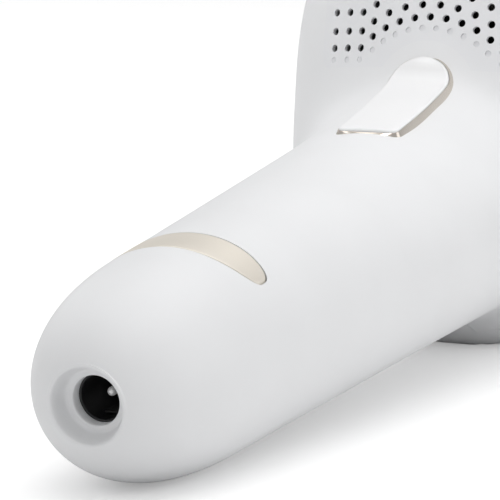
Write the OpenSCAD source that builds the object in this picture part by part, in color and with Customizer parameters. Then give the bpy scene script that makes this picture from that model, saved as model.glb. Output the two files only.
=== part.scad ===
// Handheld intense pulsed light hair remover, lying on its back.
// X runs along the handle towards the head, Z up through the light window,
// and the origin is under the middle of the body, on the surface it lies on.
// All sizes are in millimetres.

/* [Body] */
// Length from the end of the handle to the far side of the head
body_length = 194; // [185:1:205]
// Diameter of the handle near its end
handle_d = 35.8; // [34:0.2:39]
// How much the handle's half width grows towards the head in 100 mm
flare_w = 9; // [6:0.5:12]
// How much its half height grows in 100 mm
flare_h = 2.9; // [1:0.1:5]
// Slope of the handle's axis above the surface, in degrees
handle_tilt = 5.8; // [5:0.2:9]
// Length of the rounded end of the handle
nose_len = 32; // [26:1:36]
// Fullness of the rounded end, 2 is an ellipse
nose_power = 2.4; // [2:0.1:2.6]
// Depth of the head along the handle
head_depth = 52.6; // [48:0.2:56]
// Width of the head across the handle
head_width = 74.8; // [70:0.2:80]
// Height that the head's egg shape would have if it were whole
egg_height = 100; // [92:0.2:104]
// Fullness of the egg shape, 2 is an ellipsoid
egg_power = 2.25; // [2:0.05:2.4]
// Height of the head's open mouth
mouth_z = 84; // [80:0.5:86]
// Reach of the blend between handle and head
blend = 16; // [10:1:18]
// How much farther the blend reaches under the trigger
saddle = 6; // [0:1:8]
// How much of the egg is flattened where it rests
base_cut = 0.9; // [0.7:0.1:2]
// Wall thickness of the housings
wall = 2; // [1.8:0.1:2.4]

/* [Trigger] */
// Length of the flash button across the concave corner
button_len = 31.1; // [30:0.1:33]
// Width of the flash button at its base
button_base_w = 11.9; // [11:0.1:13]
// Greatest width of the flash button
button_max_w = 12.4; // [12:0.1:14]
// Width of the metal rim round the flash button
rim_w = 0.6; // [0.5:0.1:0.9]
// Travel of the flash button
button_travel = 0.8; // [0.5:0.1:1]
// Travel of the power button
power_travel = 0.5; // [0.3:0.1:0.6]

/* [Inlet] */
// Radius of the recess round the inlet at the surface
recess_r = 6.2; // [6:0.1:6.8]
// Depth of the recess floor behind the end of the handle
recess_depth = 4.3; // [4:0.1:5]
// Radius of the hole in the recess floor
inlet_r = 4; // [3.8:0.1:4.2]
// Radius of the socket's bore
socket_bore_r = 3.6; // [3.4:0.1:3.7]
// Radius of the centre pin
pin_r = 0.7; // [0.6:0.05:0.8]

/* [Light window] */
// Length of the window across the head
window_l = 31; // [28:0.5:32]
// Width of the window along the handle
window_w = 11; // [10:0.5:12]
// Height of the treatment attachment's rim
rim_z = 95; // [93:0.5:97]
// How far the contact ring stands above the rim
ring_proud = 0.8; // [0.6:0.1:1]
// Travel of the contact ring
ring_travel = 1; // [0.8:0.1:1]

/* [Hidden] */

// Outer body
tip_x = -body_length/2;
handle_r = handle_d/2;
head_a = head_depth/2;
head_b = head_width/2;
head_h = egg_height/2;
head_x = body_length/2 - head_a;
head_zc = head_h - base_cut;
handle_end = 135;
// Radius of the rounded end at distance s from its tip
function nose_r(s) = handle_r*pow(1 - pow(1 - min(s, nose_len)/nose_len, nose_power), 1/nose_power);
// Soft ramp that starts at s = 20 and then climbs by 1 in 100 mm
flare_soft = 10;
function ramp(s) = let (d = s - 20) (d + norm([d, flare_soft]))/200;
// Half width and half height of the handle at distance s
function half_w(s) = handle_r + flare_w*ramp(s);
function half_h(s) = handle_r + flare_h*ramp(s);
// Height of the tip that makes the handle's end just touch the surface
tip_z = max([for (s = [14:0.5:nose_len])
    nose_r(s)*half_h(s)/handle_r*cos(handle_tilt) - s*sin(handle_tilt)]);
// Corner that the section planes fan about, in front of the trigger
fan_x = 11;
fan_z = 70;
fan_s = (fan_x - tip_x)*cos(handle_tilt) + (fan_z - tip_z)*sin(handle_tilt);
fan_near = -(fan_x - tip_x)*sin(handle_tilt) + (fan_z - tip_z)*cos(handle_tilt);
fan_far = head_x - fan_x;
ring_n = 36;
nose_n = 8;
handle_n = 7;
turn_n = 20;
head_n = 3;
max_reach = 75;
halvings = 16;
gap = 0.3;

// Egg of the head: negative inside, about a distance near the surface
function egg(p) = head_a*(pow(pow(abs(p[0] - head_x)/head_a, egg_power)
    + pow(abs(p[1])/head_b, egg_power)
    + pow(abs(p[2] - head_zc)/head_h, egg_power), 1/egg_power) - 1);
// Handle: a flared bar along the tilted axis with superellipse ends
function bar(p) = let (
        dx = p[0] - tip_x,
        dz = p[2] - tip_z,
        s = dx*cos(handle_tilt) + dz*sin(handle_tilt),
        w = dz*cos(handle_tilt) - dx*sin(handle_tilt),
        q = max(nose_len - s, s - handle_end, 0)/nose_len)
    handle_r*(pow(pow(q, nose_power) + pow(norm([p[1]/half_w(s), w/half_h(s)]), nose_power), 1/nose_power) - 1);
// Swelling of the corner beside the trigger: height, place and reach
swell = 1.25;
swell_at = [31.5, 51];
swell_r = 8;
// Cubic smooth union of the two, wider along the middle, less the swelling
saddle_w = 13;
function body(p) = let (
        e = egg(p),
        b = bar(p),
        k = blend + saddle*exp(-pow(p[1]/saddle_w, 2)),
        h = max(k - abs(e - b), 0)/k,
        far = norm([p[0], p[2]] - swell_at)/swell_r)
    min(e, b) - h*h*h*k/6 - swell*exp(-far*far - pow(p[1]/saddle_w, 2));
// Distance from c along d at which the body's surface, moved in by inset, is met
function reach(c, d, inset, lo, hi, i) = i == 0 ? (lo + hi)/2 :
    let (m = (lo + hi)/2)
    body(c + m*d) < -inset ? reach(c, d, inset, m, hi, i - 1) : reach(c, d, inset, lo, m, i - 1);
// The same, stopped at the flat base when it is inside the wall
function skin(c, d, inset) = min(reach(c, d, inset, 0, max_reach, halvings),
    inset > 0 && d[2] < -0.001 ? (c[2] - inset)/-d[2] : max_reach);
// One ring of surface points round c in the section plane of slope a
function ring(c, a, inset) = [for (i = [0:ring_n - 1])
    let (v = 360*i/ring_n, d = [-sin(v)*sin(a), cos(v), sin(v)*cos(a)])
    c + skin(c, d, inset)*d];
function on_axis_point(s) = [tip_x + s*cos(handle_tilt), 0, tip_z + s*sin(handle_tilt)];
function ease(t) = t*t*(3 - 2*t);
// All rings of the body from the handle's end to the head's mouth
function body_rings(inset, start, top) = concat(
    [for (i = [0:nose_n]) let (s = start + (nose_len - start)*(1 - cos(90*i/nose_n)))
        ring(on_axis_point(max(s, start + 0.05)), handle_tilt, inset)],
    [for (i = [1:handle_n]) ring(on_axis_point(nose_len + (fan_s - nose_len)*i/handle_n), handle_tilt, inset)],
    [for (i = [1:turn_n]) let (t = i/turn_n, a = handle_tilt + (90 - handle_tilt)*t,
            r = fan_near + (fan_far - fan_near)*ease(t))
        ring([fan_x + r*sin(a), 0, fan_z - r*cos(a)], a, inset)],
    [for (i = [1:head_n]) ring([head_x, 0, fan_z + (top - fan_z)*i/head_n], 90, inset)]);

// Closed solid through a list of rings that have the same number of points
module loft(rings) {
    n = len(rings[0]);
    m = len(rings);
    points = [for (r = rings, p = r) p];
    sides = [for (j = [0:m - 2], i = [0:n - 1], k = [0, 1])
        let (a = j*n + i, b = j*n + (i + 1)%n, c = a + n, d = b + n)
        k == 0 ? [a, c, b] : [b, c, d]];
    first = [for (i = [0:n - 1]) i];
    last = [for (i = [n - 1:-1:0]) (m - 1)*n + i];
    polyhedron(points = points, faces = concat([first], sides, [last]), convexity = 6);
}

module outer_body() loft(body_rings(0, 0, mouth_z));
module inner_body() loft(body_rings(wall, nose_len*wall/handle_r, mouth_z + 1));

// Frame on the handle's axis, s from the tip
module on_axis(s = 0) translate(on_axis_point(s)) rotate([0, -handle_tilt, 0]) children();
// Round bar along the inlet's axis, which lies a little over the handle's
inlet_up = 0.3;
module at_inlet(s) on_axis(s) translate([0, 0, inlet_up]) children();
module axis_bar(s, len, r) at_inlet(s) rotate([0, 90, 0]) cylinder(h = len, r = r, $fn = 64);

// Superellipse outline centred on the origin
function oval(a, b, n = 64, power = egg_power) = [for (i = [0:n - 1])
    let (v = 360*i/n, c = cos(v), s = sin(v))
    [a*sign(c)*pow(abs(c), 2/power), b*sign(s)*pow(abs(s), 2/power)]];
// Rectangle with round corners
module rounded(x, y, r) {
    square([x - 2*r, y], center = true);
    square([x, y - 2*r], center = true);
    for (i = [-1, 1], j = [-1, 1]) translate([i*(x/2 - r), j*(y/2 - r)]) circle(r = r, $fn = 32);
}
module rounded_plate(x, y, z, r) linear_extrude(z) rounded(x, y, r);

// Back cover: spoon outline in plan
strip_w = 14;
cover_a = 17;
cover_b = 25;
cover_top = 12;
module spoon(grow, low) {
    translate([0, 0, low]) linear_extrude(cover_top + 6 - low) {
        translate([head_x, 0]) polygon(oval(cover_a + grow, cover_b + grow));
        translate([tip_x + 34 - grow, -strip_w/2 - grow]) square([head_x - tip_x - 34, strip_w + 2*grow]);
        translate([tip_x + 34, 0]) circle(r = strip_w/2 + grow, $fn = 48);
    }
}

// Flash button frame: X along its chord, Z out of the surface
button_x = 28.4;
button_z = 53.7;
button_slope = 23.1;
module at_button() translate([button_x, 0, button_z]) rotate([0, -button_slope, 0]) children();
// Half width of the button's outline at fraction t from base to tip
tip_t = 0.825;
tip_power = 2.4;
function petal_w(t) = (button_base_w/2 + (button_max_w - button_base_w)/2*sin(min(t, 0.6)/0.6*90))
    *pow(1 - pow(max(t - tip_t, 0)/(1 - tip_t), tip_power), 1/tip_power);
petal_n = 24;
petal_x = -0.55;
function petal_side(grow, side) = [for (i = [0:petal_n])
    let (u = 1 - pow(1 - i/petal_n, 1.8), l = button_len + 2*grow)
    [petal_x - l/2 + l*u, side*(petal_w(u) + grow*(u < 1 ? 1 : 0))]];
function petal(grow) = let (r = petal_side(grow, -1), l = petal_side(grow, 1))
    concat(r, [for (i = [petal_n:-1:0]) l[i]]);
// Upper face of the cap: chord position and height, falling along the handle
// and then climbing the head's wall
cap_line = [[-20, 1.3], [-15.6, 0.5], [-9.4, -0.7], [-2.8, -1.8], [3.6, -2.5], [8, -3],
    [10.6, -3], [12.2, -2.3], [14, -1], [15, 0], [18, 4]];
// Height of the body's surface at chord position x, in the button's frame
function corner_z(x) = let (
        c = [button_x + x*cos(button_slope) + 14*sin(button_slope), 0,
             button_z + x*sin(button_slope) - 14*cos(button_slope)],
        d = [-sin(button_slope), 0, cos(button_slope)])
    reach(c, d, 0, 0, 40, halvings) - 14;
// Prism across the button between two profile lines, each shifted in height
module corner_band(lower, low, upper, high) rotate([90, 0, 0]) translate([0, 0, -12]) linear_extrude(24)
    polygon(concat([for (p = lower) [p[0], p[1] + low]],
        [for (i = [len(upper) - 1:-1:0]) [upper[i][0], upper[i][1] + high]]));

// Vent grille frame: X into the head, Z up along its sloping wall
grille_x = 46.8;
grille_z = 68.6;
grille_slope = 10.8;
grille_half_w = 24.6;
grille_half_h = 12;
grille_curve_r = 54;
module at_grille() translate([grille_x, 0, grille_z]) rotate([0, grille_slope, 0]) children();
module grille_outline(grow, depth) rotate([90, 0, 90]) linear_extrude(depth) difference() {
    square([2*(grille_half_w + grow), 2*(grille_half_h + grow)], center = true);
    translate([0, -grille_half_h - 5]) circle(r = 10.5 - grow, $fn = 64);
}

// Inlay in plan, s along the handle and y across; it reads as a crescent from
// the handle's end, because the handle falls away on both sides
crescent_s = 35.5;
crescent_w = 8.7;
crescent_half = 14.4;
crescent_power = 2.7;
// Length of the handle under the crescent, its surface moved in by inset
module sleeve(inset, margin) loft([for (s = [-8 - margin, 0, 8 + margin])
    ring(on_axis_point(crescent_s + s), handle_tilt, inset)]);
module crescent_cut(grow, low, high) intersection() {
    on_axis(crescent_s) linear_extrude(handle_r + 8)
        polygon(oval(crescent_w/2 + grow, crescent_half + grow, 72, crescent_power));
    difference() {
        sleeve(high, 0);
        sleeve(low, 1);
    }
}

// Housing
boss_r = 8;
boss_len = 9;
module front_housing() color("#f1f1f3") difference() {
    outer_body();
    difference() {
        inner_body();
        axis_bar(0, boss_len, boss_r);
    }
    spoon(0.1, -5);
    recess_cut();
    axis_bar(socket_s, 14, 5.5);
    crescent_cut(0.1, 1, -2);
    at_button() linear_extrude(24, center = true) polygon(petal(button_gap + rim_w + 0.1));
    at_grille() translate([-8, 0, 0]) grille_outline(0.25, 18);
}
// Rounded recess round the inlet, with a flat floor ring
module recess_cut() at_inlet(0) rotate([0, 90, 0]) rotate_extrude($fn = 96) polygon([
    [0, -2], [recess_r + 1.2, -2], [recess_r + 0.5, 0.3], [recess_r - 0.1, 1.4],
    [recess_r - 0.6, 2.7], [recess_r - 1, recess_depth], [inlet_r, recess_depth],
    [inlet_r, socket_s + 0.3], [0, socket_s + 0.3]]);

module back_cover() color("#efeff1") difference() {
    intersection() {
        outer_body();
        spoon(0, 0);
    }
    inner_body();
    on_axis(key_s) translate([0, 0, -half_h(key_s) - 4]) cylinder(h = 12, r = key_r + gap, $fn = 64);
    for (i = [0:4]) light_bar(i, 1.05);
    for (p = screw_places) translate([p[0], p[1], -1]) {
        cylinder(h = 1 + well_depth, r = plug_r + 0.1, $fn = 32);
        cylinder(h = 6, r = 1.1, $fn = 32);
        translate([0, 0, 1 + seat_z]) cylinder(h = 4, r = post_r + 0.1, $fn = 32);
    }
}

module vent_grille() color("#e6e6e8") at_grille() difference() {
    intersection() {
        translate([grille_curve_r - 0.6, 0, -grille_half_h]) difference() {
            cylinder(h = 2*grille_half_h, r = grille_curve_r, $fn = 180);
            translate([0, 0, -1]) cylinder(h = 2*grille_half_h + 2, r = grille_curve_r - 1.6, $fn = 180);
        }
        translate([-8, 0, 0]) grille_outline(0, 20);
    }
    for (p = vent_places()) translate([-8, p[0], (p[1] - grille_z)/cos(grille_slope)])
        rotate([0, 90, 0]) cylinder(h = 24, r = vent_r, $fn = 16);
}
// Vent holes, y and height: arcs over the trigger between two blocks
vent_r = 0.8;
vent_arc_z = 46.4;
vent_step = 9.2;
vent_arcs = [20.5, 23, 25.8, 29, 32.4];
vent_cols = [14.9, 18.1, 21.5];
vent_rows = [60.5, 63.9, 67.7, 71.6, 75.5];
function vent_places() = concat(
    [for (row = [0:4], k = [-6:6]) let (r = vent_arcs[row], a = (k + 0.5*(row%2))*vent_step, y = r*sin(a),
        z = r*cos(a) + vent_arc_z) if (abs(y) < 13.2 && z > 60.9 && z < 79.2) [y, z]],
    [for (side = [-1, 1], col = vent_cols, z = vent_rows) [side*col, z]]);

module handle_crescent() color("#d9d1c4") crescent_cut(0, 0.95, -0.08);

// Flash button
button_gap = 0.15;
cap_t = 2.6;
stem_x = 4;
stem_top = -4.5;
stem_len = 7.5;
stem_in = 1.2;
module flash_button() color("#f4f4f4") at_button() {
    intersection() {
        linear_extrude(24, center = true) polygon(petal(0));
        corner_band(cap_line, -cap_t, cap_line, 0);
    }
    translate([stem_x, 0, stem_top - stem_len]) cylinder(h = stem_len, r = 1.3, $fn = 32);
}
// Rim: starts inside the housing's wall and ends just under the cap's edge
module flash_button_rim() color("#b9b0a6") at_button() intersection() {
    difference() {
        linear_extrude(24, center = true) polygon(petal(button_gap + rim_w));
        linear_extrude(26, center = true) polygon(petal(button_gap));
    }
    corner_band([for (x = [-20:2:18]) [x, corner_z(x)]], -2.2, cap_line, -0.35);
}
switch_h = 4.5;
switch_z = stem_top - stem_len + stem_in;
module flash_switch() color("#2c2c2e") at_button() translate([stem_x, 0, switch_z - switch_h]) difference() {
    translate([-3, -3, 0]) cube([6, 6, switch_h]);
    translate([0, 0, switch_h - stem_in - button_travel - gap]) cylinder(h = switch_h, r = 1.7, $fn = 32);
}
module flash_switch_board() color("#2f6b46") at_button() translate([stem_x, 0, switch_z - switch_h - 1.2])
    translate([-8, -6, 0]) cube([16, 12, 1.2]);

// Inlet
socket_s = recess_depth + 2;
module dc_socket() color("#1b1b1d") difference() {
    axis_bar(socket_s, 13, 5.4);
    axis_bar(socket_s - 1, 11, socket_bore_r);
    axis_bar(socket_s, 15, pin_base_r);
}
pin_base_r = 1.1;
pin_dome_s = recess_depth + 5.4;
pin_len = 6.1;
module dc_centre_pin() color("#c9c9cc") {
    axis_bar(pin_dome_s, pin_len + 0.4, pin_r);
    axis_bar(pin_dome_s + pin_len, socket_s + 14 - pin_dome_s - pin_len, pin_base_r);
    at_inlet(pin_dome_s) sphere(r = pin_r, $fn = 32);
}
module dc_sleeve_spring() color("#b8b3a8") at_inlet(socket_s) translate([3, -1.2, -socket_bore_r + 0.22])
    cube([6, 2.4, 0.3]);
module inlet_seal() color("#3a3a3c") difference() {
    axis_bar(boss_len + 0.1, 1.4, 7.2);
    axis_bar(boss_len - 1, 4, 5.45);
}

// Controls on the back
key_s = 116;
key_r = 5;
lights_s = 98;
lights_pitch = 2.6;
module light_bar(i, r) let (at = lights_s + i*lights_pitch) on_axis(at)
    translate([0, 0, -half_h(at) + 0.02]) cylinder(h = 3, r = r, $fn = 24);
key_t = 2;
module power_button() color("#e9e9ea") on_axis(key_s) translate([0, 0, -half_h(key_s)]) {
    translate([0, 0, -0.3]) cylinder(h = key_t + 0.3, r = key_r, $fn = 64);
    translate([0, 0, key_t]) cylinder(h = 1.4, r = 1, $fn = 32);
}
module power_switch() color("#2c2c2e") on_axis(key_s)
    translate([0, 0, -half_h(key_s) + key_t + power_travel + gap]) difference() {
        translate([-3, -3, 0]) cube([6, 6, 1.8]);
        translate([0, 0, -1]) cylinder(h = 2.4, r = 1.4, $fn = 32);
    }
module level_lights() color("#dfe8f2") for (i = [0:4]) light_bar(i, 1);
module control_board() color("#2f6b46") on_axis(lights_s - 4) translate([0, -7, -half_h(key_s) + 4.7])
    cube([28, 14, 1]);

// Charging circuit in the handle
board_z = -9.8;
board_t = 1.6;
module charger_board() color("#2f6b46") on_axis(22) translate([0, -11, board_z]) cube([92, 22, board_t]);
module storage_capacitor() color("#24324f") {
    on_axis(24) translate([0, 0, 3]) rotate([0, 90, 0]) cylinder(h = 42, r = 10, $fn = 64);
    on_axis(66) for (y = [-3.5, 3.5]) translate([0, y, 0]) {
        rotate([0, 90, 0]) cylinder(h = 2, r = 0.4, $fn = 16);
        translate([1.6, 0, board_z + board_t]) cylinder(h = -board_z - board_t + 0.3, r = 0.4, $fn = 16);
    }
}
core_s = 73;
module transformer_core() color("#3d3d40") on_axis(core_s) difference() {
    translate([0, -9, board_z + board_t + 1]) cube([15, 18, 13]);
    for (y = [-6.8, 2.8]) translate([-1, y, board_z + board_t + 3.4]) cube([17, 4, 8.2]);
}
module transformer_winding() color("#c98d3c") on_axis(core_s) difference() {
    translate([1.2, -6.6, board_z + board_t + 3.6]) cube([12.6, 13.2, 7.8]);
    translate([-1, -2.9, board_z + board_t + 2]) cube([17, 5.8, 11]);
}
module power_transistor() color("#29292b") on_axis(92) {
    translate([0, -9, board_z + board_t]) cube([4.4, 10, 9]);
    translate([3.2, -9, board_z + board_t + 9]) cube([1.2, 10, 5]);
}
module trigger_coil() color("#a8743a") on_axis(99) translate([0, 3, board_z + board_t + 4.6]) rotate([0, 90, 0]) {
    cylinder(h = 1.2, r = 4.5, $fn = 48);
    cylinder(h = 12, r = 3.6, $fn = 48);
    translate([0, 0, 10.8]) cylinder(h = 1.2, r = 4.5, $fn = 48);
}

// Chassis and screws in the head
chassis_z = 12;
chassis_t = 2.5;
post_r = 2.8;
seat_z = 3;
well_depth = 1.8;
plug_r = 2.5;
screw_places = [for (side = [-1, 1]) [head_x, side*6]];
module head_chassis() color("#cfcfd2") difference() {
    union() {
        translate([head_x, 0, chassis_z]) linear_extrude(chassis_t) polygon(oval(15, 22));
        for (p = screw_places) translate([p[0], p[1], seat_z + 0.05])
            cylinder(h = chassis_z - seat_z, r = post_r, $fn = 32);
        for (i = [-1, 1], j = [-1, 1]) translate([head_x + i*6, j*15, chassis_z + chassis_t])
            cylinder(h = sink_z - chassis_z - chassis_t, r = 2.2, $fn = 32);
    }
    for (p = screw_places) translate([p[0], p[1], -1]) cylinder(h = 12, r = 1.1, $fn = 32);
}
screw_head_z = 0.85;
module housing_screws() color("#8b8d90") for (p = screw_places) translate([p[0], p[1], screw_head_z]) difference() {
    union() {
        cylinder(h = 0.9, r = 2.3, $fn = 32);
        cylinder(h = 9, r = 1.05, $fn = 32);
    }
    translate([-1.6, -0.25, -1]) cube([3.2, 0.5, 1.5]);
    translate([-0.25, -1.6, -1]) cube([0.5, 3.2, 1.5]);
}

module screw_plugs() color("#e6e6e8") for (p = screw_places) translate([p[0], p[1], 0])
    cylinder(h = screw_head_z - 0.1, r = plug_r, $fn = 32);

// Cooling
fan_centre_z = 59;
fan_start_x = 53;
fan_t = 7.5;
fan_half = 15;
fan_bore_r = 14;
blades = 7;
module at_fan() translate([fan_start_x, 0, fan_centre_z]) rotate([90, 0, 90]) children();
module fan_frame() color("#232325") at_fan() {
    difference() {
        rounded_plate(2*fan_half, 2*fan_half, fan_t, 2);
        translate([0, 0, -1]) cylinder(h = fan_t + 2, r = fan_bore_r, $fn = 96);
        for (i = [-1, 1], j = [-1, 1]) translate([i*12.6, j*12.6, -1]) cylinder(h = fan_t + 2, r = 1.1, $fn = 24);
    }
    difference() {
        for (a = [0:90:270]) rotate(a) translate([0, -0.8, fan_t - 1]) cube([fan_bore_r + 0.5, 1.6, 1]);
        translate([0, 0, fan_t - 2]) cylinder(h = 3, r = 1, $fn = 32);
    }
    translate([0, 0, fan_t - 1]) difference() {
        cylinder(h = 1, r = 5.6, $fn = 48);
        translate([0, 0, -1]) cylinder(h = 3, r = 1, $fn = 32);
    }
}
module fan_rotor() color("#3b3b3e") at_fan() {
    translate([0, 0, 0.5]) cylinder(h = fan_t - 2, r = 5.5, $fn = 48);
    cylinder(h = fan_t - 0.2, r = 0.95, $fn = 32);
    for (i = [0:blades - 1]) rotate(i*360/blades) translate([5, 0, 3.2]) rotate([38, 0, 0])
        translate([0, -3.2, -0.4]) cube([8, 6.4, 0.8]);
}
sink_z = 44;
module heat_sink() color("#b9bcc0") translate([head_x, 0, sink_z]) difference() {
    translate([-8, -20, 0]) cube([17, 40, 14]);
    for (i = [0:10]) translate([-9, -18 + i*3.4, -1]) cube([19, 2, 11.5]);
}

// Lamp module
lamp_w = 17;
lamp_l = 37;
lamp_z = 66;
tube_z = 72;
tube_r = 2;
module lamp_housing() color("#d8d5cf") difference() {
    translate([head_x - lamp_w/2, -lamp_l/2, sink_z + 14.2]) cube([lamp_w, lamp_l, mouth_z - sink_z - 14.4]);
    translate([head_x - lamp_w/2 + 1.5, -lamp_l/2 + 1.5, lamp_z]) cube([lamp_w - 3, lamp_l - 3, 30]);
}
reflector_r = 5.6;
reflector_t = 0.7;
// Trough outline: a half round under two flared sides
function trough(r) = concat([[-r - 1.2, 11.6]], [for (v = [180:7.5:360]) r*[cos(v), sin(v)]], [[r + 1.2, 11.6]]);
module reflector() color("#dfe2e6") translate([head_x, 16.9, tube_z]) rotate([90, 0, 0]) linear_extrude(33.8)
    let (inner = trough(reflector_r - reflector_t))
        polygon(concat(trough(reflector_r), [for (i = [len(inner) - 1:-1:0]) inner[i]]));
module flash_lamp() color("#e3edf5") translate([head_x, -15.5, tube_z]) rotate([-90, 0, 0]) difference() {
    cylinder(h = 31, r = tube_r, $fn = 48);
    translate([0, 0, 2]) cylinder(h = 27, r = tube_r - 0.6, $fn = 48);
}
module lamp_end_caps() color("#eee9df") for (s = [-1, 1]) translate([head_x, s*16, tube_z]) difference() {
    rotate([90, 0, 0]) cylinder(h = 1.9, r = 3.4, center = true, $fn = 48);
    rotate([90, 0, 0]) cylinder(h = 4, r = tube_r, center = true, $fn = 48);
}
filter_t = 1.5;
mouth_top = mouth_z + 2.5;
// Half sizes of the body at the mouth
mouth_part = pow(1 - pow((mouth_z - head_zc)/head_h, egg_power), 1/egg_power);
mouth_a = head_a*mouth_part;
mouth_b = head_b*mouth_part;
module filter_frame() color("#c9c9cc") difference() {
    translate([head_x, 0, mouth_z]) linear_extrude(2.5) polygon(oval(mouth_a - 3.1, mouth_b - 3.1));
    translate([head_x - window_w/2, -window_l/2, mouth_z - 1]) cube([window_w, window_l, 5]);
    translate([head_x - window_w/2 - 1, -window_l/2 - 1, mouth_top - filter_t]) cube([window_w + 2, window_l + 2, 5]);
}
module filter_glass() color("#e7b26a") translate([head_x - window_w/2 - 0.95, -window_l/2 - 0.95, mouth_top - filter_t])
    cube([window_w + 1.9, window_l + 1.9, filter_t]);

// Skin contact
ring_w = 18;
ring_l = 38;
contact_h = 0.5;
ring_low = mouth_top + contact_h + ring_travel + gap;
module contact_switches() color("#2c2c2e") for (s = [-1, 1])
    translate([head_x - 3, s*(ring_l/2 - 2.4) - 1.2, mouth_top]) cube([6, 2.4, contact_h]);
module contact_ring() color("#e4e4e6") translate([head_x, 0, ring_low]) difference() {
    rounded_plate(ring_w, ring_l, rim_z + ring_proud - ring_low, 4);
    translate([0, 0, -1]) rounded_plate(window_w + 1.4, window_l + 1.4, 20, 2);
}
module nozzle_ring() color("#c8bfb2") translate([head_x, 0, mouth_z]) difference() {
    linear_extrude(2.5) polygon(oval(mouth_a - 0.2, mouth_b - 0.2));
    translate([0, 0, -1]) linear_extrude(6) polygon(oval(mouth_a - 2.9, mouth_b - 2.9));
}
attachment_low = mouth_top + gap;
function attachment_ring(t) = let (z = attachment_low + (rim_z - attachment_low)*t,
        draw = 1.5*t*t + 1.1*pow(max(t - 0.8, 0)/0.2, 2))
    [for (p = oval(mouth_a - 0.3 - draw, mouth_b - 0.3 - draw, 48)) [head_x + p[0], p[1], z]];
module treatment_attachment() color("#f3f3f5") difference() {
    loft([for (t = [0, 0.3, 0.6, 0.8, 0.88, 0.94, 0.98, 1]) attachment_ring(t)]);
    translate([head_x, 0, mouth_z]) rounded_plate(ring_w + 2*gap, ring_l + 2*gap, 20, 4 + gap);
    translate([head_x, sensor_y, rim_z - 2]) cylinder(h = 3, r = sensor_r, $fn = 32);
}
sensor_y = 21.6;
sensor_r = 1.3;
module skin_sensor_lens() color("#3a2426") translate([head_x, sensor_y, rim_z - 2])
    cylinder(h = 1.9, r = sensor_r, $fn = 32);

front_housing();
back_cover();
vent_grille();
handle_crescent();
flash_button();
flash_button_rim();
flash_switch();
flash_switch_board();
dc_socket();
dc_centre_pin();
dc_sleeve_spring();
inlet_seal();
power_button();
power_switch();
level_lights();
control_board();
charger_board();
storage_capacitor();
transformer_core();
transformer_winding();
power_transistor();
trigger_coil();
head_chassis();
housing_screws();
screw_plugs();
fan_frame();
fan_rotor();
heat_sink();
lamp_housing();
reflector();
flash_lamp();
lamp_end_caps();
filter_frame();
filter_glass();
contact_switches();
contact_ring();
nozzle_ring();
treatment_attachment();
skin_sensor_lens();
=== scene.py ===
"""Looks of a handheld pulsed-light hair remover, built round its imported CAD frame.

The handset lies on its back: X runs along the handle towards the head, Z up
through the light window. Every length is in metres, in the frame's own axes.
"""

import logging
import math
from dataclasses import dataclass
from enum import Enum
from typing import Callable, Iterable, Sequence

import bmesh
import bpy
import numpy as np
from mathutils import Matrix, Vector


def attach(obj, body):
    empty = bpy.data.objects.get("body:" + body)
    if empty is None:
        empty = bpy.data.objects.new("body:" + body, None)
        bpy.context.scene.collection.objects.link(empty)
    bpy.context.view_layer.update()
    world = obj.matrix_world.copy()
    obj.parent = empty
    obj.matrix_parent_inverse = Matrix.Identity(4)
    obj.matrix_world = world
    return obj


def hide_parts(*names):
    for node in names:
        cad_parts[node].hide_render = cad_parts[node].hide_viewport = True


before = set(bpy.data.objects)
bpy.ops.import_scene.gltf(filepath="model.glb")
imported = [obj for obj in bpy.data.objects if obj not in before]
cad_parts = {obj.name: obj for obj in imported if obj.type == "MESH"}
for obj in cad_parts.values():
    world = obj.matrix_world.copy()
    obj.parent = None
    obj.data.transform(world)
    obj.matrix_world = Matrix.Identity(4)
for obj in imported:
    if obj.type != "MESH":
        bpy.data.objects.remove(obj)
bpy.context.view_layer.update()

LOG = logging.getLogger("hair_remover")
MM = 0.001
Array = np.ndarray
HALF_PI = math.pi / 2
QUARTER = (0.0, HALF_PI)
NEAR_ZERO = 0.02 * MM
UPRIGHT = np.array([0.0, 0.0, 1.0])
ACROSS = np.array([0.0, 1.0, 0.0])


class Body(str, Enum):
    """Rigid bodies of the frame that the pieces ride on."""

    ROOT = "root"
    TRIGGER = "flash_trigger"
    POWER_KEY = "power_key"
    FAN = "fan"
    ATTACHMENT = "attachment"
    SKIN_RING = "skin_ring"


# --------------------------------------------------------------------------
# Finishes
# --------------------------------------------------------------------------

WANDER_SCALE = 55.0
WANDER_BAND = (0.3, 0.7)
LEAST_ROUGHNESS = 0.02
GRAIN_STRENGTH = 0.6
SHEEN_ROUGHNESS = 0.5


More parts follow.
